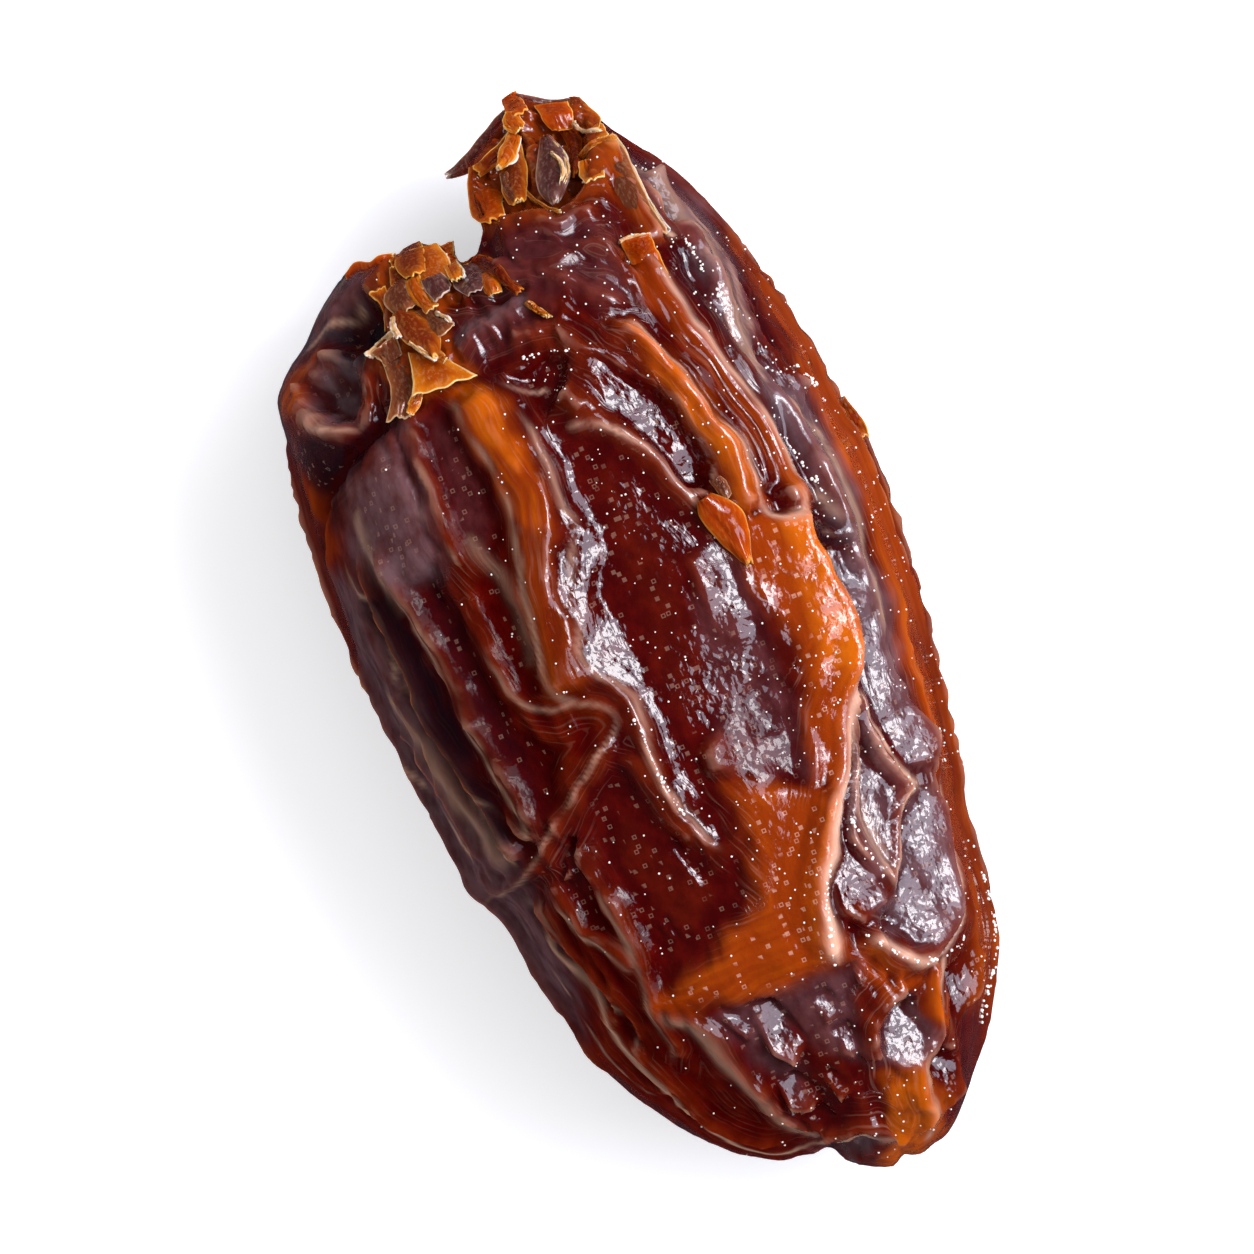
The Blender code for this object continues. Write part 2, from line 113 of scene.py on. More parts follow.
# A fold has a height, the half-widths of its two flanks, a sharpness (1 is a knife edge, 2 a soft
# roll) and a route. Routes run from the stem end to the blossom end, or from west to east, so that
# the first flank is the one to the east or to the stem end.
Fold = namedtuple("Fold", "name height first second sharp route")
FOLDS = (
    Fold("amber fold A", 0.95, 1.1, 1.3, 2.4,
         ((-3.7, 13.7), (-3.0, 12.5), (-2.6, 11.0), (-2.3, 9.5), (-2.2, 8.0), (-2.5, 6.5),
          (-3.0, 5.0), (-3.4, 3.5), (-3.7, 2.0), (-3.9, 0.5), (-3.8, -1.0))),
    Fold("crest B", 0.5, 0.3, 0.45, 1.4,
         ((-1.7, 12.2), (-1.2, 10.5), (-1.0, 9.0), (-1.1, 7.5), (-1.0, 6.5), (-1.7, 5.2),
          (-2.2, 3.9), (-2.5, 2.6), (-2.8, 1.2), (-2.6, 0.0), (-2.0, -0.8), (-1.7, -2.0),
          (-1.7, -3.5), (-1.6, -5.3), (-1.2, -6.8), (-0.7, -8.0), (-0.2, -9.4))),
    Fold("crest C", 0.35, 0.5, 0.5, 1.5,
         ((0.2, 10.3), (1.8, 10.0), (2.7, 8.8), (3.4, 7.5), (3.9, 6.2), (4.3, 5.0))),
    Fold("inner amber rib", 1.0, 0.5, 1.0, 1.8,
         ((4.2, 14.0), (5.0, 12.2), (5.7, 10.4), (6.2, 8.8), (6.6, 7.2), (6.8, 5.4), (6.9, 3.9))),
    Fold("channel between the ribs", -0.95, 0.5, 0.45, 2.2,
         ((5.3, 16.7), (5.5, 14.8), (5.8, 12.8), (6.3, 11.0), (6.8, 9.0), (7.2, 7.2), (7.4, 5.4),
          (7.5, 4.0))),
    Fold("outer amber rib", 0.95, 0.9, 0.45, 1.8,
         ((5.9, 16.7), (6.2, 15.0), (6.6, 13.0), (7.1, 11.0), (7.6, 9.2), (8.0, 7.5), (8.3, 6.0),
          (8.5, 4.5), (8.4, 3.2))),
    Fold("dark cells beside the outer rib", -0.6, 0.45, 0.45, 1.8,
         ((7.5, 15.6), (7.9, 13.8), (8.1, 12.0), (8.4, 10.2), (8.7, 8.4), (8.9, 6.4), (9.1, 4.2),
          (9.2, 1.8))),
    Fold("grey rib", 0.7, 0.6, 0.6, 1.7,
         ((7.4, 20.4), (8.0, 19.0), (8.6, 17.4), (9.0, 15.6), (9.1, 14.0), (9.0, 12.4),
          (9.0, 10.8), (9.3, 9.6), (9.9, 8.0), (10.4, 6.4), (10.6, 4.6), (10.7, 2.8),
          (10.5, 1.2), (10.2, -0.4), (10.0, -2.0), (9.6, -4.2))),
    Fold("dark strip inside the rim", -0.5, 0.4, 0.4, 1.8,
         ((9.7, 17.2), (10.0, 15.2), (10.3, 13.2), (10.5, 11.2), (10.7, 9.4))),
    Fold("rim fold H", 0.32, 0.7, 0.8, 1.8,
         ((10.4, 15.5), (11.0, 13.0), (11.3, 10.5), (11.5, 8.0), (11.6, 5.0), (11.6, 2.0),
          (11.4, -1.0), (11.0, -4.0), (10.6, -7.0), (10.2, -9.6))),
    Fold("plateau Q, west branch", 0.2, 0.8, 0.7, 2.0,
         ((-5.8, -14.3), (-4.0, -14.7), (-2.0, -14.5), (0.2, -14.2), (2.2, -14.6))),
    Fold("pale crest K", 0.95, 0.45, 0.7, 1.5,
         ((7.7, -4.5), (6.9, -5.5), (6.2, -7.0), (5.6, -8.3), (4.8, -9.5), (4.0, -10.8),
          (3.2, -12.0), (2.7, -13.2), (2.4, -14.5), (2.5, -15.7))),
    Fold("crest L", 0.85, 0.4, 0.45, 1.4,
         ((7.7, -4.6), (7.8, -6.0), (8.0, -7.5), (8.3, -9.0), (8.6, -10.0), (7.9, -10.3),
          (7.3, -11.5), (6.6, -12.7), (5.9, -13.8))),
    Fold("crest M", 0.45, 0.3, 0.35, 1.6,
         ((5.3, -9.6), (5.3, -11.0), (5.5, -12.4), (5.9, -13.6))),
    Fold("rim N of the basin", 0.8, 0.45, 0.55, 1.6,
         ((3.8, -14.6), (4.6, -15.4), (5.1, -16.2), (5.7, -16.9), (6.7, -17.1), (7.6, -16.7),
          (8.4, -16.2), (9.0, -15.4), (9.4, -14.0), (9.7, -12.0), (9.9, -10.0), (10.1, -8.5))),
    Fold("arc V", 0.25, 0.3, 0.3, 1.4,
         ((-6.7, 3.4), (-6.5, 1.5), (-5.9, 0.0), (-5.0, -0.8), (-4.0, -1.0), (-3.0, -1.3),
          (-2.5, -2.1))),
    Fold("cross ridge to the pinch", 0.5, 0.35, 0.35, 1.3,
         ((-11.3, -7.1), (-10.4, -7.4), (-9.2, -7.2), (-8.2, -6.7), (-7.3, -6.0), (-6.3, -5.2),
          (-5.2, -4.3), (-4.0, -3.4), (-2.7, -2.6))),
    Fold("red ridge U", 0.45, 0.4, 0.5, 1.6,
         ((-3.1, -3.6), (-2.5, -4.2), (-2.3, -5.5), (-1.9, -7.0), (-1.3, -8.5))),
    Fold("ridge T", 0.5, 0.4, 0.35, 1.4,
         ((-6.1, -8.6), (-6.0, -10.0), (-5.8, -11.4), (-5.7, -13.0), (-5.9, -14.4), (-5.8, -15.6),
          (-5.5, -16.6), (-5.9, -17.2))),
    Fold("ridge W", 0.45, 0.35, 0.35, 1.4,
         ((-8.1, -7.6), (-7.7, -9.3), (-7.2, -10.6), (-6.5, -11.7), (-6.0, -12.6))),
    Fold("red trough", -0.7, 0.45, 0.45, 1.8,
         ((-8.6, -8.4), (-8.2, -10.4), (-7.4, -12.4), (-6.9, -14.2), (-6.7, -15.6))),
    Fold("rim ridge X", 0.55, 0.4, 0.4, 1.3,
         ((-9.4, -7.9), (-9.1, -9.5), (-9.0, -11.0), (-8.3, -12.3), (-7.9, -13.6), (-7.8, -15.0),
          (-7.5, -16.2), (-6.9, -17.4), (-6.4, -18.6), (-5.8, -20.0), (-5.0, -21.2), (-3.8, -22.1),
          (-2.4, -22.5))),
    Fold("ridge Y", 0.45, 0.4, 0.5, 1.4,
         ((-5.7, -14.6), (-4.6, -15.4), (-4.0, -16.5), (-3.6, -17.8), (-3.1, -19.2), (-2.5, -20.6),
          (-1.8, -21.7), (-0.8, -22.5))),
    Fold("lip of the blossom scar", 0.6, 0.4, 0.4, 1.4,
         ((-1.2, -22.7), (0.2, -22.8), (1.1, -23.2), (1.8, -23.8), (2.6, -24.4))),
    Fold("ridge to the blossom end", 0.6, 0.45, 0.45, 1.5,
         ((7.0, -17.2), (6.4, -18.3), (6.0, -19.5), (5.4, -20.4), (4.3, -20.9), (4.0, -22.0),
          (3.7, -23.2), (3.3, -24.4))),
    Fold("rim of the small end pane", 0.45, 0.4, 0.35, 1.6,
         ((2.4, -20.4), (2.6, -19.4), (3.2, -18.6), (4.2, -18.0), (5.2, -17.8))),
    Fold("smile rim of the west dish", 0.35, 0.16, 0.2, 1.2,
         ((-10.6, 15.3), (-9.7, 14.4), (-8.7, 13.9), (-7.8, 14.2), (-7.2, 15.1), (-6.9, 16.1),
          (-6.5, 16.7), (-5.4, 17.1))),
    Fold("upper lip of the west lobe", 0.7, 0.5, 0.45, 1.5,
         ((-11.0, 16.6), (-9.6, 17.2), (-8.2, 17.7), (-6.8, 17.8), (-5.8, 18.2))),
    Fold("crevice under the dish", -1.0, 0.5, 0.5, 1.5,
         ((-11.5, 9.6), (-10.9, 11.2), (-10.0, 12.2), (-8.6, 12.8), (-7.4, 13.0), (-6.3, 13.2))),
    Fold("ridge a", 0.35, 0.25, 0.3, 1.4,
         ((-6.0, 13.0), (-6.1, 12.0), (-6.3, 10.0), (-6.5, 8.5), (-6.4, 7.3), (-6.1, 6.4))),
    Fold("groove a", -0.3, 0.2, 0.2, 1.6,
         ((-6.5, 12.4), (-6.7, 10.4), (-6.9, 8.6), (-6.8, 7.2))),
    Fold("ridge b", 0.7, 0.4, 0.4, 1.3,
         ((-9.9, 9.5), (-9.6, 7.5), (-9.2, 6.2), (-8.9, 4.6), (-8.8, 3.0), (-8.8, 1.0),
          (-8.6, -0.6), (-8.3, -2.0), (-8.0, -3.5), (-7.8, -5.0), (-8.0, -6.2))),
    Fold("trough west of b", -1.1, 0.55, 0.55, 2.0,
         ((-10.4, 7.2), (-10.0, 5.6), (-9.9, 3.6), (-9.9, 1.6), (-9.7, -0.2), (-9.2, -2.2),
          (-8.8, -4.2), (-8.7, -5.6))),
    Fold("ridge c", 0.75, 0.38, 0.38, 1.2,
         ((-11.3, 9.2), (-11.2, 7.4), (-10.9, 5.6), (-10.8, 3.8), (-10.9, 2.2), (-10.7, 0.6),
          (-10.3, -1.0), (-10.1, -2.6), (-9.8, -4.2), (-9.5, -5.6), (-9.0, -6.8))),
    Fold("upper wave", 0.5, 0.5, 0.6, 1.6,
         ((-0.9, 14.9), (0.3, 14.8), (1.4, 14.6), (2.2, 13.6), (2.9, 12.4), (3.7, 11.2))),
    Fold("mauve band over the wave", 0.35, 0.5, 0.5, 1.8,
         ((-3.2, 15.0), (-1.8, 15.6), (-0.2, 15.9), (1.0, 16.1), (1.9, 15.2))),
    Fold("nodule", 0.55, 0.5, 0.5, 1.8,
         ((0.6, 11.9), (1.0, 11.3), (1.3, 10.7))),
    Fold("fine fold over the wave", 0.3, 0.35, 0.35, 1.6,
         ((2.2, 16.2), (3.0, 15.4), (3.9, 14.8), (4.8, 14.2))),
    Fold("diagonal ridge", 0.45, 0.4, 0.5, 1.4,
         ((0.0, 18.6), (0.6, 17.7), (1.5, 17.2), (2.6, 16.6), (3.4, 15.7), (4.3, 14.8),
          (5.0, 14.2))),
    Fold("ridge by the rib's end", 0.35, 0.35, 0.4, 1.4,
         ((3.0, 17.3), (4.2, 17.6), (5.0, 17.1), (5.3, 16.0), (5.2, 14.8))),
    Fold("short ridge under the diagonal", 0.3, 0.3, 0.4, 1.4,
         ((1.9, 15.9), (2.6, 15.0), (3.1, 13.9), (3.6, 12.9))),
    Fold("brown crest under the lip", 0.3, 0.3, 0.35, 1.4,
         ((0.3, 19.0), (1.4, 19.1), (2.6, 18.8), (3.2, 18.0), (3.5, 17.2))),
    Fold("ridge d", 0.4, 0.25, 0.3, 1.3,
         ((-12.1, 1.0), (-11.7, -0.8), (-11.3, -2.6), (-11.1, -4.4), (-10.8, -6.0))),
    Fold("ridge e", 0.4, 0.2, 0.25, 1.3,
         ((-10.2, -1.2), (-9.4, -3.0), (-8.6, -4.4), (-8.0, -5.8))),
    Fold("ridge f", 0.35, 0.2, 0.25, 1.3,
         ((-11.2, 8.4), (-10.9, 6.4), (-10.85, 4.4), (-11.2, 2.8), (-11.8, 2.2))),
    Fold("ridge g", 0.3, 0.2, 0.2, 1.3,
         ((-9.1, 7.4), (-8.55, 5.0), (-8.4, 2.6), (-8.35, 0.4), (-8.05, -1.6), (-8.3, -3.2))),
    Fold("ridge h", 0.35, 0.2, 0.25, 1.3,
         ((-8.6, -8.2), (-8.4, -10.4), (-8.0, -12.4), (-7.2, -14.4), (-7.0, -16.2))),
    Fold("first crease of the mauve skin", -0.25, 0.14, 0.14, 1.6,
         ((0.6, 18.4), (1.3, 17.3), (2.1, 16.2), (2.4, 15.4))),
    Fold("second crease of the mauve skin", -0.22, 0.13, 0.13, 1.6,
         ((2.0, 18.5), (3.0, 17.9), (3.8, 16.8), (4.6, 16.2))),
    Fold("third crease of the mauve skin", -0.22, 0.13, 0.13, 1.6,
         ((-1.6, 17.0), (-0.4, 16.4), (0.6, 16.3), (1.4, 15.6))),
    Fold("torn strip F", 0.75, 0.16, 0.9, 1.6,
         ((6.8, 21.8), (7.0, 20.6), (7.1, 19.2), (7.2, 17.8), (7.5, 16.5))),
    Fold("lip of the hollow", 0.5, 0.35, 0.4, 1.4,
         ((0.3, 19.7), (1.5, 19.8), (2.8, 19.4), (3.5, 19.0), (4.4, 19.2), (5.3, 18.9))),
    Fold("wrinkle under the lip", 0.35, 0.4, 0.4, 1.6,
         ((0.2, 18.2), (1.4, 17.6), (2.8, 17.4), (4.2, 17.9))),
)
ROUTES = {fold.name: fold.route for fold in FOLDS}

# A pane is a stretch of skin that has sunk between the folds, or a swell where its depth is below
# zero. Its walls slope over a width of plan.
Pane = namedtuple("Pane", "name depth wall outline")
PANES = (
    Pane("great pane", 0.35, 1.6, (
        (-0.9, 9.6), (0.2, 10.4), (1.8, 10.1), (2.8, 8.9), (3.5, 7.6), (4.0, 6.1), (4.4, 4.8),
        (4.7, 2.4), (5.1, 0.0), (5.4, -2.0), (5.3, -4.0), (4.8, -6.0), (4.4, -8.3), (2.3, -7.4),
        (0.6, -6.2), (-0.1, -9.0), (-0.9, -7.6), (-1.5, -5.3), (-1.6, -3.0), (-1.9, -0.8),
        (-2.5, 0.2), (-2.6, 1.6), (-2.2, 3.6), (-1.0, 6.2), (-1.1, 7.8))),
    Pane("round pane", 0.45, 1.5, (
        (-2.7, -3.2), (-2.2, -5.0), (-1.6, -7.0), (-0.5, -9.4), (0.9, -9.0), (0.3, -11.4),
        (-2.4, -13.2), (-5.4, -13.8), (-5.6, -12.0), (-5.8, -10.0), (-6.0, -6.6), (-5.0, -4.8),
        (-3.8, -3.9))),
    Pane("end pane", 0.25, 0.6, (
        (-3.5, -15.5), (0.0, -15.7), (3.4, -15.5), (2.7, -17.0), (2.1, -19.0), (1.5, -21.3),
        (0.0, -22.2), (-1.6, -21.4), (-2.4, -19.6), (-3.0, -17.8))),
    Pane("plateau Q", -0.2, 0.9, (
        (0.8, -6.8), (2.3, -7.6), (4.5, -8.7), (5.2, -9.4), (4.0, -11.2), (3.0, -12.6),
        (2.6, -14.0), (3.2, -15.4), (0.0, -15.6), (-3.9, -15.0), (-5.8, -14.1), (-2.5, -13.3),
        (0.2, -11.6), (1.1, -9.0))),
    Pane("pane under the wave", 0.45, 0.6, (
        (-1.4, 13.2), (0.4, 13.6), (1.6, 13.0), (1.0, 12.2), (0.3, 11.4), (-0.4, 10.8),
        (-0.8, 12.0))),
    Pane("violet panel", 0.3, 0.6, (
        (-5.9, 12.8), (-4.4, 13.2), (-3.9, 11.0), (-3.7, 9.0), (-3.9, 7.0), (-4.6, 6.0),
        (-5.8, 7.0), (-6.1, 9.0), (-5.9, 11.0))),
    Pane("swirl", 0.2, 0.6, (
        (-6.2, 5.5), (-5.0, 5.8), (-4.5, 4.0), (-4.9, 1.8), (-4.9, -0.2), (-5.8, 0.2),
        (-6.3, 2.0))),
    Pane("long west trough", 0.3, 1.0, (
        (-8.6, 6.6), (-7.3, 7.2), (-6.9, 5.0), (-6.9, 2.0), (-6.4, -0.5), (-5.4, -2.4),
        (-6.3, -4.4), (-7.3, -5.4), (-7.7, -4.0), (-8.0, -1.0), (-8.3, 2.0), (-8.5, 4.5))),
    Pane("smooth grey swell", -0.2, 1.6, (
        (-9.9, 12.0), (-7.0, 12.8), (-6.6, 10.0), (-7.2, 7.0), (-9.3, 6.6), (-10.4, 9.0))),
    Pane("west dish", 1.3, 1.0, (
        (-10.3, 15.6), (-9.4, 14.7), (-8.6, 14.3), (-7.9, 14.7), (-7.4, 15.6), (-7.5, 16.5),
        (-8.6, 17.1), (-10.0, 16.8))),
    Pane("dark hollow by the tear", 1.6, 0.8, (
        (-8.1, 17.7), (-7.0, 19.2), (-5.8, 19.6), (-5.3, 18.2), (-5.5, 17.2), (-6.5, 16.9),
        (-7.5, 16.8))),
    Pane("lower west panel", 0.35, 0.5, (
        (-7.4, -7.2), (-6.5, -6.4), (-6.3, -9.0), (-6.2, -11.2), (-7.0, -10.4), (-7.6, -8.6))),
    Pane("hook of the rib", 0.5, 0.4, (
        (7.2, 4.6), (7.8, 4.8), (8.1, 3.8), (7.5, 3.2))),
    Pane("dark cell by the hook", 0.35, 0.3, (
        (8.9, 3.4), (9.5, 3.3), (9.5, 2.1), (8.8, 2.2))),
    Pane("smooth skin by the crevice", 0.1, 0.6, (
        (-11.9, 14.9), (-10.8, 15.2), (-9.6, 13.9), (-9.0, 12.9), (-10.2, 12.2), (-11.4, 11.6))),
    Pane("blossom scar", 0.6, 0.4, (
        (-1.8, -22.9), (0.4, -23.0), (1.2, -23.6), (0.2, -24.0), (-0.9, -23.5))),
    Pane("notch slope", 0.8, 1.2, (
        (-2.6, 20.6), (-2.4, 18.2), (-1.0, 17.4), (0.6, 18.4), (0.6, 20.4))),
)

# A facet is a pane that lies on one slope all over, in mm of height for each mm of X and of Y, and
# so shines all over when the light stands right. Its depth is below the plain body at its middle.
Facet = namedtuple("Facet", "name depth wall slope outline")
FACETS = (
    Facet("slope of crest B", 0.0, 0.35, (-0.33, -0.02), (
        (-2.7, 4.6), (-2.0, 5.5), (-1.2, 6.4), (-0.1, 6.0), (0.1, 4.9), (-0.9, 4.0), (-1.4, 3.0),
        (-1.0, 1.9), (-0.7, 0.4), (-0.9, -0.7), (-1.9, -0.9), (-2.6, 0.2), (-2.9, 1.4),
        (-2.6, 2.6), (-2.9, 3.6))),
    Facet("valley beside the inner rib", 0.35, 0.35, (-0.33, -0.01), (
        (1.6, 13.2), (2.8, 12.8), (3.9, 11.0), (4.8, 9.1), (5.4, 6.8), (5.0, 5.7), (4.3, 6.0),
        (3.7, 7.6), (3.0, 9.0), (2.3, 10.3))),
    Facet("great pane, east gleam", 0.27, 0.4, (-0.33, -0.02), (
        (2.7, 3.2), (4.5, 3.5), (4.9, 1.5), (5.0, -0.7), (4.4, -1.6), (3.1, -1.3), (2.5, 0.6))),
    Facet("great pane, south gleam", 0.3, 0.7, (-0.33, 0.03), (
        (0.1, -4.7), (1.6, -3.9), (3.4, -2.8), (5.1, -2.6), (5.0, -4.6), (4.5, -6.6), (4.0, -7.9),
        (2.2, -7.0), (0.3, -5.8))),
    Facet("east slope", 0.1, 0.4, (-0.32, 0.02), (
        (8.7, 1.8), (10.1, 1.2), (10.0, -1.5), (9.6, -4.0), (9.9, -8.0), (9.3, -9.6), (8.6, -9.2),
        (8.2, -7.0), (8.1, -4.8), (8.6, -2.2))),
    Facet("west half of the crest pane", 0.3, 0.28, (-0.33, -0.04), (
        (6.7, -6.4), (6.1, -7.8), (5.5, -9.0), (4.6, -10.4), (3.6, -12.0), (3.1, -13.4),
        (3.8, -14.2), (5.3, -13.9), (5.1, -12.4), (5.0, -10.8), (5.5, -9.6), (6.3, -8.0))),
    Facet("east half of the crest pane", 0.25, 0.28, (-0.32, -0.04), (
        (7.4, -5.2), (7.4, -7.0), (7.8, -9.0), (8.0, -9.9), (7.3, -10.8), (6.5, -12.4),
        (6.1, -13.3), (5.8, -12.2), (5.7, -10.4), (6.3, -8.8), (6.9, -7.0))),
    Facet("basin", 0.45, 0.7, (-0.32, 0.01), (
        (8.9, -10.4), (9.4, -11.5), (9.1, -14.0), (8.2, -15.7), (7.0, -16.5), (5.9, -16.3),
        (5.3, -15.4), (4.6, -14.8), (5.8, -14.0), (6.9, -12.6), (7.8, -10.9))),
    Facet("end pane, west gleam", 0.05, 0.3, (-0.34, -0.05), (
        (-3.6, -15.4), (-2.9, -15.3), (-2.0, -17.1), (-2.5, -17.4))),
    Facet("end pane, first gleam", 0.0, 0.35, (-0.33, -0.05), (
        (-2.0, -15.8), (-0.7, -15.8), (-0.1, -18.2), (-0.8, -19.0), (-1.6, -18.0))),
    Facet("end pane, upper second gleam", 0.14, 0.4, (-0.33, -0.05), (
        (0.8, -16.5), (1.7, -16.5), (2.0, -17.8), (1.0, -17.9))),
    Facet("end pane, lower second gleam", 0.05, 0.35, (-0.33, -0.05), (
        (1.0, -18.1), (2.0, -18.1), (1.9, -19.3), (1.5, -19.8), (1.1, -19.4))),
    Facet("end pane, third gleam", 0.1, 0.35, (-0.33, -0.06), (
        (-2.0, -19.3), (-1.0, -19.3), (-0.2, -20.6), (-0.7, -21.1), (-1.6, -20.7))),
    Facet("end pane, fourth gleam", 0.1, 0.3, (-0.33, -0.06), (
        (-1.5, -21.1), (-0.6, -21.0), (-0.2, -21.8), (-0.8, -22.1))),
    Facet("end pane, fifth gleam", 0.1, 0.3, (-0.33, -0.06), (
        (-0.1, -19.8), (0.5, -19.8), (0.9, -21.0), (0.4, -21.2))),
    Facet("round pane, first gleam", 0.45, 0.3, (-0.33, -0.04), (
        (-2.6, -8.2), (-1.9, -8.1), (-1.2, -10.2), (-2.0, -10.3))),
    Facet("round pane, second gleam", 0.4, 0.25, (-0.34, -0.01), (
        (-4.3, -11.1), (-3.8, -11.0), (-3.6, -12.0), (-4.1, -12.1))),
    Facet("gleam under the arc", 0.2, 0.25, (-0.34, -0.03), (
        (-7.4, -8.0), (-6.8, -7.8), (-6.0, -6.3), (-6.5, -6.1))),
    Facet("gleam at the end of crest B", 0.15, 0.3, (-0.33, -0.03), (
        (-1.5, -5.2), (-0.8, -5.5), (0.1, -7.2), (0.2, -8.7), (-0.5, -8.7), (-1.2, -7.0))),
    Facet("long panel", -0.5, 0.8, (0.0, 0.0), (
        (5.0, 3.4), (6.0, 4.0), (7.2, 3.4), (8.5, 3.3), (8.5, 0.5), (8.5, -2.0), (7.9, -4.3),
        (7.0, -5.4), (6.2, -7.0), (5.2, -8.6), (4.2, -8.7), (4.9, -6.2), (5.4, -4.0), (5.5, -2.0),
        (5.1, 0.0))),
    Facet("gleam on the long panel", -0.58, 1.1, (-0.3, -0.02), (
        (6.1, -4.0), (6.4, -3.0), (7.0, -2.2), (7.5, -2.2), (7.2, -3.3), (6.6, -4.2))),
    Facet("small end pane", 0.3, 0.5, (-0.33, -0.03), (
        (2.6, -20.1), (3.0, -18.9), (4.0, -18.2), (5.1, -18.2), (5.0, -20.0), (4.2, -21.0),
        (3.1, -21.0))),
    Facet("facet by the blossom end", 0.1, 0.4, (-0.32, -0.06), (
        (4.4, -21.3), (5.5, -20.9), (6.0, -21.6), (5.2, -22.9), (4.3, -23.3))),
    Facet("facet under the rim", 0.1, 0.5, (-0.32, -0.00), (
        (6.9, -17.9), (8.4, -17.2), (8.6, -18.1), (7.5, -19.7), (6.3, -20.5))),
    Facet("tip of the stem shoulder", 0.0, 0.35, (-0.32, 0.01), (
        (7.4, 19.8), (8.2, 19.6), (8.9, 17.6), (8.6, 16.8), (7.8, 17.2))),
    Facet("gleam on the grey rib", -0.1, 0.3, (-0.32, 0.01), (
        (8.3, 15.2), (8.7, 15.0), (9.0, 12.8), (8.9, 10.8), (8.5, 10.8), (8.3, 13.0))),
    Facet("shoulder above the rim", 0.1, 0.4, (-0.32, -0.01), (
        (9.4, 11.6), (10.2, 10.6), (10.9, 8.6), (10.4, 7.9), (9.6, 8.9), (9.2, 10.2))),
)

# The hollow that the stem was pulled from, pushed in along the way it faces
HOLLOW_OUTLINE = (
    (0.3, 21.9), (1.6, 22.7), (2.7, 23.9), (3.5, 24.2), (5.0, 23.7), (6.2, 22.8), (5.6, 21.2),
    (5.0, 20.0), (4.2, 19.5), (3.3, 19.3), (2.4, 19.8), (0.4, 20.1),
)
HOLLOW_DEPTH = 1.4
HOLLOW_WAY = (0.1, -0.4, -0.9)

